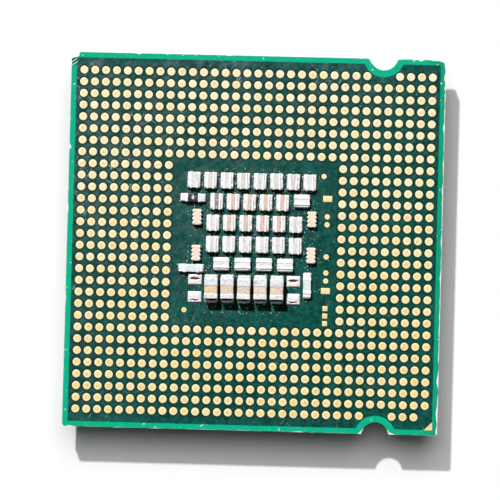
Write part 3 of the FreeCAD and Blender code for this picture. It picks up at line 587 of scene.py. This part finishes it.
maskGreen = maskFinish(readGrid())
goldPlate = goldFinish()
tinAcross = tinFinish("tinTerminalsAlongY", (0.98, 0.98, 0.98), (11.0, 0.8, 2.0), 0.45, 0.62, 0.05)
tinAlong = tinFinish("tinTerminalsAlongX", (0.98, 0.98, 0.98), (0.8, 11.0, 2.0), 0.45, 0.6, 0.05)
tallTin = tinFinish("tallCapacitorTerminals", (0.90, 0.91, 0.93), (2.5, 2.0, 2.0), 0.4, 0.35)
bareEndsWithPaintedShade(tallTin)
solderShine = tinFinish("reflowedSolder", (0.97, 0.97, 0.98), (5.0, 5.0, 5.0), 0.35, 0.3, 0.08)
tallSolder = tinFinish("tallCapacitorSolder", (0.95, 0.95, 0.96), (3.0, 3.0, 3.0), 0.3, 0.4, 0.2)
bareEndsWithPaintedShade(tallSolder)
padTin = plainFinish("tinnedPads", (0.06, 0.09, 0.08), (0.45, 0.47, 0.46), 6.0, 0.4, 0.3)
bumpSolder = plainFinish("bumpSolder", (0.55, 0.55, 0.54), (0.72, 0.72, 0.70), 6.0, 0.35, 0.8)
ceramicAcross = ceramicFinish("firedCeramicAlongY", (10.0, 1.0, 2.0))
ceramicAlong = ceramicFinish("firedCeramicAlongX", (1.0, 10.0, 2.0))
laminate = laminateFinish()
film = filmFinish()
foil = plainFinish("copperFoil", (0.55, 0.25, 0.13), (0.66, 0.34, 0.20), 1.5, 0.42, 1.0)
glaze = glazeFinish()
alumina = plainFinish("whiteAlumina", (0.62, 0.68, 0.74), (0.84, 0.88, 0.92), 5.0, 0.5,
                      Specular_IOR_Level=0.3)
creamAlumina = plainFinish("creamAlumina", (0.84, 0.68, 0.50), (0.92, 0.79, 0.62), 5.0, 0.55,
                           Specular_IOR_Level=0.3)
tarnishedTin = plainFinish("arrayTerminals", (0.84, 0.76, 0.64), (0.94, 0.92, 0.86), 6.0, 0.45, 0.15)
dieGlass = plainFinish("polishedSilicon", (0.10, 0.10, 0.12), (0.16, 0.16, 0.19), 0.4, 0.14, 0.6)
epoxy = plainFinish("underfillEpoxy", (0.05, 0.045, 0.04), (0.09, 0.08, 0.07), 3.0, 0.35)
indium = plainFinish("thermalInterface", (0.50, 0.51, 0.53), (0.62, 0.62, 0.63), 1.2, 0.4, 0.9)
silicone = plainFinish("lidSealant", (0.012, 0.012, 0.013), (0.035, 0.035, 0.036), 4.0, 0.55, depth=0.03)
nickel = lidFinish()

keptNodes = {
    "land_side_copper_plane": foil, "die_side_copper_plane": foil, "silicon_die": dieGlass,
    "die_bumps": bumpSolder, "underfill": epoxy, "thermal_interface": indium, "lid": nickel,
    "lid_sealant": silicone, "component_pads": padTin, "die_side_pin_one_triangle": goldPlate,
}
for nodeName, finish in keptNodes.items():
    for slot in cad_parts[nodeName].material_slots:
        slot.material = finish


board = {
    "step": 0.16,  # between points along the edge
    "corner": 0.3,
    "chip": (0.82, 0.58),  # broken upper-left corner: along the top edge, down the left edge
    "coreChip": (0.81, 0.57),
    "nickDepth": 0.12,
    "sawMarks": 0.018,
    "shortfall": 0.085,  # of the lacquer along the right edge, and less along the lower one
}
# larger bites out of the lacquer at the edge: where, how far they reach, how deep they go
bites = [
    (11.18, -18.75, 0.40, 0.16), (13.95, -18.72, 0.55, 0.17), (11.15, 18.75, 0.25, 0.10),
    (13.9, 18.74, 0.35, 0.12), (18.75, -16.6, 0.9, 0.10), (18.75, -13.4, 0.6, 0.09),
    (18.75, -18.3, 0.5, 0.08), (18.75, 5.5, 0.7, 0.07), (18.75, 12.0, 0.5, 0.08),
    (18.75, -3.0, 0.8, 0.06), (-18.75, 9.2, 0.35, 0.15), (-18.0, -18.65, 0.4, 0.16),
    (18.75, 18.75, 1.0, 0.22), (17.6, 18.75, 0.6, 0.10), (16.2, 18.75, 0.35, 0.12),
    (15.6, 18.75, 0.2, 0.08), (18.75, 17.0, 0.5, 0.10), (18.75, 15.9, 0.3, 0.10),
    (18.75, 15.2, 0.3, 0.07), (-12.0, 18.75, 0.3, 0.08), (-3.0, 18.75, 0.4, 0.06),
    (5.0, -18.75, 0.6, 0.05), (-18.75, 3.0, 0.6, 0.05), (-18.75, -6.0, 0.8, 0.05),
]


def arcPoints(cx, cy, radius, start, end, step):
    count = max(3, int(abs(end - start) * radius / step))
    return [(cx + radius * math.cos(start + (end - start) * i / count),
             cy + radius * math.sin(start + (end - start) * i / count)) for i in range(count + 1)]


def boardRim():
    # the outline, anticlockwise from the lower left corner, with its notches and corner radii
    r, c, step = board["corner"], boardHalf - board["corner"], board["step"]
    quarter = math.pi / 2
    gap = math.acos((notchY - boardHalf) / notchRadius)  # half angle of the notch's arc
    path = arcPoints(-c, -c, r, 2 * quarter, 3 * quarter, step / 2)
    path += arcPoints(notchX, -notchY, notchRadius, quarter + gap, quarter - gap, step)
    path += arcPoints(c, -c, r, 3 * quarter, 4 * quarter, step / 2)
    path += arcPoints(c, c, r, 0, quarter, step / 2)
    path += arcPoints(notchX, notchY, notchRadius, 3 * quarter + gap, 3 * quarter - gap, step)
    path += arcPoints(-c, c, r, quarter, 2 * quarter, step / 2)
    return path


def subdivide(path, step):
    points = []
    for (ax, ay), (bx, by) in zip(path, path[1:] + path[:1]):
        length = math.hypot(bx - ax, by - ay)
        if length < 1e-6:
            continue
        count = max(1, round(length / step))
        points += [(ax + (bx - ax) * i / count, ay + (by - ay) * i / count) for i in range(count)]
    return points


def wornRim(chip, nicks, seed, lacquer=False):
    # nominal outline moved inwards by saw marks, nicks and the broken corner
    path = subdivide(boardRim(), board["step"])
    worn = []
    for i, (x, y) in enumerate(path):
        ax, ay = path[i - 1]
        bx, by = path[(i + 1) % len(path)]
        length = math.hypot(bx - ax, by - ay)
        nx, ny = (by - ay) / length, -(bx - ax) / length
        fine = noise.noise(Vector((x * 1.9, y * 1.9, seed)))
        coarse = noise.noise(Vector((x * 0.8, y * 0.8, seed + 9.0)))
        back = board["sawMarks"] * (0.5 + 0.5 * fine)
        back += nicks * max(0.0, noise.noise(Vector((x * 3.1, y * 3.1, seed + 4.0))) - 0.38) * 2.2
        back += 0.012 * (0.5 + 0.5 * coarse)
        if lacquer:
            back += board["shortfall"] * max(0.0, nx, -0.4 * ny) * max(0.0, 0.7 + 1.3 * coarse)
        for atX, atY, reach, depth in bites if lacquer else []:
            gone = 1 - math.hypot(x - atX, y - atY) / reach
            back += depth * max(0.0, gone) * (1.2 + 0.8 * fine)
        x, y = x - nx * back, y - ny * back
        # points of the broken corner slide onto the two sides of the bite
        inX, inY = x + boardHalf, boardHalf - y
        if inX < chip[0] and inY < chip[1]:
            ragged = 1.0 + 0.12 * noise.noise(Vector((inX * 5.0, inY * 5.0, seed)))
            if inY / chip[1] > inX / chip[0]:
                share = 1 - inY / chip[1]
                x = -boardHalf + chip[0] * 0.9 * share
                y = boardHalf - chip[1] * ragged * (1 - 0.15 * share)
            else:
                share = inX / chip[0]
                x = -boardHalf + chip[0] * ragged * (0.9 + 0.1 * share)
                y = boardHalf - chip[1] * 0.85 * (1 - share)
        worn.append((x, y))
    return worn


def prism(rim, low, high, jitter=0.0, seed=0.0, rows=1):
    # a solid layer with a wall of several rows, filled top and bottom by triangulation
    count = len(rim)
    rings = []
    for row in range(rows + 1):
        z = low + (high - low) * row / rows
        ring = []
        rough = jitter if 0 < row < rows else 0.0
        for x, y in rim:
            pull = rough * (0.5 + 0.5 * noise.noise(Vector((x * 2.6, y * 2.6, z * 7.0 + seed))))
            length = max(abs(x), abs(y))
            ring.append((x * (1 - pull / length), y * (1 - pull / length), z))
        rings.append(ring)
    points, faces = loft(rings, False, False)
    made = triangulate([rim])[1]
    top = [[rows * count + i for i in face] for face in made]
    bottom = [face[::-1] for face in made]
    return points, faces + top + bottom


def triangulate(loops):
    # the first loop is the outside, the others are holes; returns faces on the loops' own points
    flat = [Vector(p) for loop in loops for p in loop]
    chains = []
    start = 0
    for loop in loops:
        chains.append(list(range(start, start + len(loop))))
        start += len(loop)
    result = geometry.delaunay_2d_cdt(flat, [], chains, 2, 1e-7)
    faces, origins = result[2], result[3]
    back = [own[0] if own else None for own in origins]
    made = []
    for face in faces:
        corners = [back[i] for i in face]
        if None in corners:
            raise ValueError("outline crosses itself")
        made.append(corners)
    return flat, made


def buildLayer(name, nodeName, slotName, finish, chip, nicks, seed, jitter=0.0, rows=1):
    low, high = roomOf(nodeName)
    rim = wornRim(chip, nicks, seed)
    sheet = Sheet()
    sheet.add(*prism(rim, low[2], high[2], jitter, seed, rows), False)
    sheet.build(name, slotName, [nodeName], finish)


buildLayer("coreLaminate", "core_laminate", "laminate_core", laminate, board["coreChip"], 0.03, 1.0, 0.03, 6)
for side, nicks, seed in (("land", 0.04, 2.0), ("die", 0.03, 3.0)):
    buildLayer(f"{side}SideInnerFilm", f"{side}_side_inner_film", "build_up_film", laminate,
               board["coreChip"], nicks, seed, 0.01, 2)
for side, seed in (("land", 5.0), ("die", 6.0)):
    buildLayer(f"{side}SideOuterFilm", f"{side}_side_outer_film", "build_up_film", film,
               board["coreChip"], 0.03, seed)
buildLayer("dieSideMask", "die_side_solder_mask", "green_solder_mask", maskGreen, board["chip"], 0.05, 6.0)
print("stage 2: board layers")


lands = {"inset": 0.032, "segments": 22, "dent": 0.003, "edge": 0.0015, "seed": 11}


def landDisc(sheet, box, rng, warmer=0.0):
    # a flat disc with a rounded rim and the slanted dent of a contact near its middle
    cx, cy, _ = middle(box)
    radius = halfSize(box)[0] - lands["inset"]
    low, top = box[0][2], box[1][2]
    turn = 0.9 + rng.uniform(-0.25, 0.25)
    ox, oy = rng.uniform(-0.05, 0.05), rng.uniform(-0.05, 0.05)
    n = lands["segments"]
    rings = []
    profile = [(0.10, -lands["dent"]), (0.22, 0.0), (0.45, 0.0), (0.68, 0.0), (0.92, -0.0004),
               (1.0, -lands["edge"])]
    warmth, stain = rng.random() ** 1.3 + warmer, rng.random() ** 1.4
    for share, drop in profile:
        inner = share < 0.3
        ring = []
        for i in range(n):
            a = 2 * math.pi * i / n
            u = radius * share * math.cos(a) * (1.6 if inner else 1.0)
            v = radius * share * math.sin(a) * (0.55 if inner else 1.0)
            ring.append((cx + (ox if inner else 0.0) + u * math.cos(turn) - v * math.sin(turn),
                         cy + (oy if inner else 0.0) + u * math.sin(turn) + v * math.cos(turn), top + drop))
        rings.append(ring)
    rings.append([(x, y, low) for x, y, _ in rings[-1]])
    points, faces = loft(rings[::-1], True, True)
    shares = [1.0, 1.0] + [share for share, _ in profile[:-1]][::-1]
    tones = [(warmth, stain, max(0.0, min(1.0, (share - 0.2) / 0.65))) for share in shares for _ in range(n)]
    sheet.add(points, faces, True, tones)


def plate(sheet, box, rng):
    sheet.add(*roundedBlock(box[0], box[1], 0.006, 0.2), True, (rng.random(), rng.random() ** 2, 0.5))


goldBoxes = []
rng = random.Random(lands["seed"])
for side in ("top", "bottom", "left", "right"):
    sheet = Sheet()
    for box in landBoxes[side]:
        landDisc(sheet, box, rng)
        goldBoxes.append((box, True))
    sheet.build(f"lands{side.title()}", "gold_lands", [f"lands_{side}_block"], goldPlate)
goldMarks = [("fiducialDots", "fiducial_dots", True), ("roundTestPads", "round_test_pads", True),
             ("oblongTestPads", "oblong_test_pads", False), ("indexSquares", "index_squares", False)]
for name, nodeName, isRound in goldMarks:
    sheet = Sheet()
    for box in looseBoxes(nodeName):
        if isRound:
            landDisc(sheet, box, rng, 1.4 if middle(box)[0] < 0 else 0.2)
        else:
            plate(sheet, box, rng)
        goldBoxes.append((box, isRound))
    sheet.build(name, "gold_marks", [nodeName], goldPlate)


def cornerTriangle():
    # right angle in the plane's corner, with slightly soft points
    low, high = roomOf("land_side_pin_one_triangle")
    soft = 0.04
    ring = [(low[0] + soft * 2, low[1]), (high[0] - soft, low[1]), (high[0], low[1] + soft),
            (high[0], high[1] - soft * 2), (high[0] - soft, high[1] - soft), (low[0] + soft, low[1] + soft)]
    shrink = 0.99
    mx, my = high[0] - 0.25, low[1] + 0.25
    rings = [[(x, y, low[2]) for x, y in ring], [(x, y, high[2] - 0.003) for x, y in ring],
             [(mx + (x - mx) * shrink, my + (y - my) * shrink, high[2]) for x, y in ring]]
    sheet = Sheet()
    sheet.add(*loft(rings), False, (0.3, 0.6, 0.5))
    sheet.build("landSideTriangle", "gold_marks", ["land_side_pin_one_triangle"], goldPlate)
    return ring


triangleRing = cornerTriangle()
print("stage 3: gold", len(goldBoxes))


mask = {"gap": 0.045, "segments": 20, "lip": 0.012, "corner": 0.03, "lipSlope": 0.018}


def openingLoop(box, isRound, gap):
    cx, cy, _ = middle(box)
    if isRound:
        radius = halfSize(box)[0] + gap
        n = mask["segments"]
        return [(cx + radius * math.cos(2 * math.pi * i / n), cy + radius * math.sin(2 * math.pi * i / n))
                for i in range(n)]
    hx, hy, _ = halfSize(box) + gap
    nearX, nearY = hx - mask["corner"], hy - mask["corner"]
    ways = [(-nearX, -hy), (nearX, -hy), (hx, -nearY), (hx, nearY),
            (nearX, hy), (-nearX, hy), (-hx, nearY), (-hx, -nearY)]
    return [(cx + x, cy + y) for x, y in ways]


def grownTriangle(gap):
    mx, my = triangleRing[1][0] - 0.25, triangleRing[1][1] + 0.25
    grow = 1 + gap / 0.25
    return [(mx + (x - mx) * grow, my + (y - my) * grow) for x, y in triangleRing]


def buildMask():
    low, high = roomOf("land_side_solder_mask")
    bottom, top = low[2], high[2]
    pads = [(box, False) for box in looseBoxes("component_pads")]
    openings = goldBoxes + pads
    wide, narrow = mask["gap"], mask["gap"] - mask["lipSlope"]
    rim = wornRim(board["chip"], board["nickDepth"], 5.0, True)
    soft = [(x * (1 - mask["lip"] / boardHalf), y * (1 - mask["lip"] / boardHalf)) for x, y in rim]
    upper = [soft] + [openingLoop(box, isRound, wide) for box, isRound in openings] + [grownTriangle(wide)]
    lower = [rim] + [openingLoop(box, isRound, narrow) for box, isRound in openings] + [grownTriangle(narrow)]
    flat, made = triangulate(upper)
    flatLow = [p for loop in lower for p in loop]
    count = len(flat)
    points = [(p[0], p[1], top) for p in flat]
    points += [(p[0], p[1], top - mask["lip"]) for p in flatLow]
    points += [(p[0], p[1], bottom) for p in flatLow]
    faces = list(made)
    smooth = [False] * len(made)
    start = 0
    for loop in upper:
        n = len(loop)
        outside = start == 0  # the rim runs the other way round from the openings
        for i in range(n):
            a, b = start + i, start + (i + 1) % n
            if outside:
                a, b = b, a
            for level in (0, 1):
                near, far = level * count, (level + 1) * count
                faces.append([near + b, near + a, far + a, far + b])
                smooth.append(level == 0)
        start += n
    faces += [[2 * count + i for i in face][::-1] for face in made]
    smooth += [False] * len(made)
    sheet = Sheet()
    sheet.add(points, faces, smooth)
    sheet.build("landSideMask", "green_solder_mask", ["land_side_solder_mask"], maskGreen)
    print("mask faces", len(faces))


buildMask()
print("stage 4: mask")


grey, salmon, tan, mottled = (0.76, 0.77, 0.74), (0.77, 0.52, 0.40), (0.74, 0.70, 0.60), (0.22, 0.22, 0.22)
pinkGrey = (0.76, 0.67, 0.62)
chips = {
    "row_1_capacitor": {"axis": 0,
                        "tones": [grey, pinkGrey, grey, tan, grey, tan, pinkGrey, grey]},
    "row_2_capacitor": {"axis": 0, "tones": [mottled, salmon, salmon, salmon, salmon]},
    "row_3_capacitor": {"axis": 0, "tones": [grey, salmon, salmon, salmon, salmon, grey]},
    "row_4_capacitor": {"axis": 0, "tones": [grey]},
    "turned_capacitor": {"axis": 1, "tones": [(0.86, 0.86, 0.85)]},
    "tall_capacitor": {"axis": 1, "bandShift": -0.18, "tin": tallTin, "solder": tallSolder,
                       "tones": [(0.80, 0.58, 0.33), (0.78, 0.60, 0.42), (0.76, 0.62, 0.45),
                                 (0.80, 0.64, 0.50), (0.80, 0.62, 0.42)]},
    "lying_resistor": {"axis": 0, "core": "bodies", "tones": [grey], "body": alumina},
    "upright_resistor": {"axis": 1, "core": "bodies", "tones": [grey], "body": alumina},
    "chip_array": {"axis": 0, "core": "body_blocks", "tones": [grey], "body": creamAlumina,
                   "tin": tarnishedTin},
}
placing = {"turn": 0.022, "slide": 0.025, "seed": 5}
terminalLook = {"round": 0.035, "step": 0.10, "bumps": 0.02, "swell": 0.014, "overhang": 0.025}
ceramicLook = {"round": 0.02, "step": 0.2, "bumps": 0.004}


def ownerOf(box, cores):
    centre = middle(box)
    return min(range(len(cores)), key=lambda i: np.hypot(*(middle(cores[i]) - centre)[:2]))


solderLook = {"slices": 14, "rows": 8, "lump": 0.03, "climb": 0.6}


def solderFillet(box, core, axis, seed, hollow):
    # solder from the terminal's end out to its toe: hollow against a tall end, plump against a low one
    side = 1.0 if middle(box)[axis] > middle(core)[axis] else -1.0
    across = 1 - axis
    end = core[1][axis] if side > 0 else core[0][axis]
    toe = box[1][axis] if side > 0 else box[0][axis]
    inner = box[0][axis] if side > 0 else box[1][axis]
    base, crest = box[0][2], box[1][2]
    if not hollow:
        crest += solderLook["climb"] * (core[1][2] - crest)
    reach = abs(toe - end)
    halfBreadth = halfSize(box)[across]
    mid = middle(box)[across]
    rings = []
    for k in range(solderLook["slices"] + 1):
        v = -1 + 2 * k / solderLook["slices"]
        shoulder = (1 - abs(v) ** (3 if hollow else 9)) ** 0.5
        wobble = noise.noise(Vector((seed, v * 2.6, 3.0)))
        edge = noise.noise(Vector((seed * 1.3, v * 6.0, 5.0)))
        low = 0.35 if hollow else 0.75
        tall = base + (crest - base) * (low + (1 - low) * shoulder) * (1 + 0.10 * wobble)
        long = reach * (low + (1 - low) * shoulder) * (1 + 0.16 * edge)
        ring = [(inner, base), (inner, base + 0.03)]
        for q in range(solderLook["rows"]):
            share = q / (solderLook["rows"] - 1)
            u = end + side * (long * share - 0.015 * (1 - share))
            fall = (1 - share) ** 1.9 if hollow else (1 - share ** 11) ** 0.9
            lump = solderLook["lump"] * noise.noise(Vector((seed + share * 3.0, v * 4.0, 8.0)))
            ring.append((u, base + 0.02 + (tall - base - 0.02) * fall + lump * share * (1 - share) * 4))
        ring.append((end + side * long, base))
        place = []
        for u, z in ring:
            p = [0.0, 0.0, z]
            p[axis], p[across] = u, mid + v * halfBreadth
            place.append(tuple(p))
        rings.append(place)
    points, faces = loft(rings)
    if (side > 0) == (axis == 0):
        faces = [face[::-1] for face in faces]
    return points, faces


maskTop = roomOf("land_side_solder_mask")[1][2]
crumbs = {"each": 18, "reach": 0.34, "size": (0.02, 0.048), "seed": 8}
spills = {"tall_capacitor": (60, 1.5), "upright_resistor": (40, 0.9)}  # more of them, and further out


def scatterCrumbs(sheet, core, rng, group):
    # little flakes of flux and solder lying on the lacquer close round a component
    number, reach = spills.get(group, (crumbs["each"], crumbs["reach"]))
    for _ in range(number):
        side, along = rng.choice((0, 0, 1, 2, 2, 3, 3)), rng.random()
        out = rng.uniform(0.1, 1.0) ** 1.4 * reach + 0.1
        low, high = core[0], core[1]
        if side < 2:
            x = low[0] + (high[0] - low[0]) * along
            y = high[1] + out if side else low[1] - out
        else:
            x = high[0] + out + 0.2 if side == 2 else low[0] - out - 0.2
            y = low[1] + (high[1] - low[1]) * along
        size = rng.uniform(*crumbs["size"]) * (1.8 if rng.random() < 0.12 else 1.0)
        ring = []
        for i in range(6):
            a = i * math.pi / 3
            far = size * rng.uniform(0.5, 1.2)
            ring.append((x + far * math.cos(a), y + far * math.sin(a), maskTop))
        crest = [(x + (px - x) * 0.5, y + (py - y) * 0.5, maskTop + size * 0.6) for px, py, _ in ring]
        sheet.add(*loft([ring, crest]), False)


def buildGroup(group, look):
    axis = look["axis"]
    coreNode = f"{group}_{look.get('core', 'ceramics')}"
    cores = looseBoxes(coreNode)
    rng = random.Random(placing["seed"] + len(group) + len(cores))
    poses = []
    for core in cores:
        calm = 0.4 if group == "chip_array" else 1.0
        turn = rng.uniform(-1, 1) * placing["turn"] * calm
        slideX, slideY = [rng.uniform(-1, 1) * placing["slide"] * calm for _ in range(2)]
        poses.append((turn, (slideX, slideY, 0.0)))
    body, caps, fillets = Sheet(), Sheet(), Sheet()

    def seat(sheet, block, i, tone=(1.0, 1.0, 0.5)):
        points, faces = block
        sheet.add(turnAbout(points, middle(cores[i]), *poses[i]), faces, True, tone)

    tones = look["tones"]
    for i, core in enumerate(cores):
        block = roundedBlock(*core, ceramicLook["round"], ceramicLook["step"], ceramicLook["bumps"], i)
        seat(body, block, i, tones[i % len(tones)])
    for k, box in enumerate(looseBoxes(f"{group}_terminals")):
        i = ownerOf(box, cores)
        spread = terminalLook["swell"]
        if "bandShift" in look:
            upper = middle(box)[1] > middle(cores[i])[1]
            box = (box[0] + [0, look["bandShift"] if upper else 0, 0],
                   box[1] + [0, 0 if upper else look["bandShift"] * 0.6, 0])
        low = box[0] - spread * 0.5 - [0, terminalLook["overhang"], 0]
        block = roundedBlock(low, box[1] + spread, terminalLook["round"], terminalLook["step"],
                             terminalLook["bumps"], k * 3.1)
        seat(caps, block, i)
    for k, box in enumerate(looseBoxes(f"{group}_solder")):
        i = ownerOf(box, cores)
        hollow = group == "tall_capacitor" and middle(box)[1] < middle(cores[i])[1]
        seat(fillets, solderFillet(box, cores[i], axis, k * 2.3 + i, hollow), i)
    crumbRng = random.Random(crumbs["seed"] + len(group))
    for core in cores:
        scatterCrumbs(fillets, core, crumbRng, group)
    name = "".join(word.title() for word in group.split("_"))
    bodyFinish = look.get("body", ceramicAcross if axis == 0 else ceramicAlong)
    capFinish = look.get("tin", tinAcross if axis == 0 else tinAlong)
    solderFinish = look.get("solder", solderShine)
    bodySlot = "white_alumina" if "body" in look else "capacitor_ceramic"
    if group == "tall_capacitor":
        bodySlot = "tan_ceramic"
    made = [body.build(f"{name}Core", bodySlot, [coreNode], bodyFinish),
            caps.build(f"{name}Terminals", "tin_terminals", [f"{group}_terminals"], capFinish),
            fillets.build(f"{name}Solder", "solder", [f"{group}_solder"], solderFinish)]
    for piece in made:
        piece.visible_diffuse = False  # keeps the shadows between the parts deep


for group, look in chips.items():
    buildGroup(group, look)


def glazeTones(points, box):
    # a film carries a pale patch near its middle
    cx, cy, _ = middle(box)
    tones = []
    for x, y, _ in points:
        ragged = 0.7 * noise.noise(Vector((x * 7, y * 7, 1.0)))
        near = 1 - math.hypot((x - cx) / 0.17, (y - cy) / 0.26) + ragged
        tones.append((max(0.0, min(1.0, near * 2.5)), 0.0, 0.0))
    return tones


films = Sheet()
for box in looseBoxes("resistor_films"):
    points, faces = roundedBlock(box[0], box[1] + [0, 0, 0.01], 0.012, 0.05, 0.004)
    films.add(points, faces, True, glazeTones(points, box))
films.build("resistorFilms", "resistive_film", ["resistor_films"], glaze)


pillow = {"cells": 34, "rise": 1.9, "crease": 0.34}


def solderPillow(box, seed, upper):
    # a low uneven dome of solder on a bare pad, creased, and darkened to brown along the crease
    low, high = box
    cells = pillow["cells"]
    points, tones = [], []
    for j in range(cells + 1):
        for i in range(cells + 1):
            u, v = 2 * i / cells - 1, 2 * j / cells - 1
            rise = max(0.0, (1 - abs(u) ** 6) * (1 - abs(v) ** 6)) ** 0.5
            lump = 0.25 * noise.noise(Vector((u * 1.6 + seed, v * 1.6, seed)))
            sway = 0.12 * noise.noise(Vector((u * 3.0, seed, 2.0)))
            # the crease is a lens across the upper pads and a curved line low on the lower ones
            line = 0.12 + sway if upper else -0.62 + 0.25 * u * u + sway
            width = pillow["crease"] * max(0.05, 1 - u * u * 1.3) * (1.0 if upper else 0.6)
            gone = max(0.0, 1 - (abs(v - line) / width) ** 3) * (1.0 if abs(u) < 0.82 else 0.0)
            unbrowned = 1.0 - gone
            blush = 1.0 if v > line else 0.25
            x, y = [mid + part * half for mid, part, half in zip(middle(box), (u, v), halfSize(box))]
            tall = (high[2] - low[2]) * pillow["rise"] * rise * (1 + lump) * (1 - 0.5 * gone)
            points.append((x, y, low[2] + 0.02 + tall))
            tones.append((unbrowned, blush if upper else 0.35, 0.5))
    size = cells + 1
    faces = [[j * size + i, j * size + i + 1, (j + 1) * size + i + 1, (j + 1) * size + i]
             for j in range(cells) for i in range(cells)]
    rim = list(range(cells)) + [j * size + cells for j in range(cells)]
    rim += [cells * size + i for i in range(cells, 0, -1)] + [j * size for j in range(cells, 0, -1)]
    base = len(points)
    points += [(points[i][0], points[i][1], low[2]) for i in rim]
    tones += [(1.0, 1.0, 0.5)] * len(rim)
    n = len(rim)
    faces += [[base + i, base + (i + 1) % n, rim[(i + 1) % n], rim[i]] for i in range(n)]
    faces.append([base + i for i in range(n)][::-1])
    return points, faces, tones


pillows = Sheet()
emptyPads = looseBoxes("empty_site_solder")
centreLine = sum(middle(box)[1] for box in emptyPads) / len(emptyPads)
for k, box in enumerate(emptyPads):
    points, faces, tones = solderPillow(box, k * 1.9, middle(box)[1] > centreLine)
    pillows.add(points, faces, True, tones)
pillows.build("emptySiteSolder", "solder", ["empty_site_solder"], solderShine)
print("stage 5: components")


stage = {"floor": 0.535, "size": 3.0, "sunTurn": (-0.34, 0.84, 1.0), "sunPower": 4.4, "sunSoftness": 2.4,
         "windowTurn": (0.02, 0.56, 1.0), "windowPower": 2.8, "windowSoftness": 54.0,
         "room": 0.03, "horizon": 0.95}


def addFloor():
    half = stage["size"] / 2
    mesh = bpy.data.meshes.new("floor")
    corners = [(-half, -half, 0), (half, -half, 0), (half, half, 0), (-half, half, 0)]
    mesh.from_pydata(corners, [], [[0, 1, 2, 3]])
    floor = addObject("floor", mesh)
    material, _, shader, _ = newFinish("paleFloor", 0.8)
    shader.inputs["Base Color"].default_value = (*[stage["floor"]] * 3, 1.0)
    mesh.materials.append(material)
    return floor


def addSun(name, towards, power, softness):
    lamp = bpy.data.lights.new(name, "SUN")
    lamp.energy = power
    lamp.angle = math.radians(softness)
    holder = addObject(name, lamp)
    holder.rotation_euler = Vector(towards).to_track_quat("Z", "Y").to_euler()
    return holder


def lightOnly(lamp, piece):
    # the wide window softens the shadow on the table and leaves the board to the hard lamp
    group = bpy.data.collections.new(f"{lamp.name}Reach")
    group.objects.link(piece)
    lamp.light_linking.receiver_collection = group


def addSky():
    world = bpy.data.worlds.new("dimRoom")
    world.use_nodes = True
    background = world.node_tree.nodes["Background"]
    # pale walls low round the table, a dim room above them
    tree = world.node_tree
    way = put(tree, "ShaderNodeTexCoord").outputs["Generated"]
    light = between(tree, axesOf(tree, way)[2], 0.12, 0.26, stage["horizon"], stage["room"])
    tree.links.new(light, background.inputs[0])
    background.inputs[1].default_value = 1.0
    bpy.context.scene.world = world


view = {"eye": (18.947, -12.635, 462.9), "aim": (-0.383, -0.688, 4.3), "roll": -1.49, "lens": 331.0}


def addCamera():
    camera = addObject("camera", bpy.data.cameras.new("camera"))
    eye, aim = Vector(view["eye"]) * mm, Vector(view["aim"]) * mm
    back = (eye - aim).normalized()
    # turned about the line of sight until the board's up edge leans as it should
    roll = math.radians(view["roll"])
    up = Vector((math.sin(roll), math.cos(roll), 0))
    up = (up - back * up.dot(back)).normalized()
    turn = Matrix((up.cross(back).normalized(), up, back)).transposed()
    camera.matrix_world = Matrix.Translation(eye) @ turn.to_4x4()
    camera.data.lens = view["lens"]
    camera.data.clip_start = 0.01
    camera.data.clip_end = 20.0
    bpy.context.scene.camera = camera


floor = addFloor()
addSun("keySun", stage["sunTurn"], stage["sunPower"], stage["sunSoftness"])
lightOnly(addSun("wideWindow", stage["windowTurn"], stage["windowPower"], stage["windowSoftness"]), floor)
addSky()
addCamera()
bpy.context.scene.view_settings.view_transform = "Standard"
print("stage 6: light and camera")
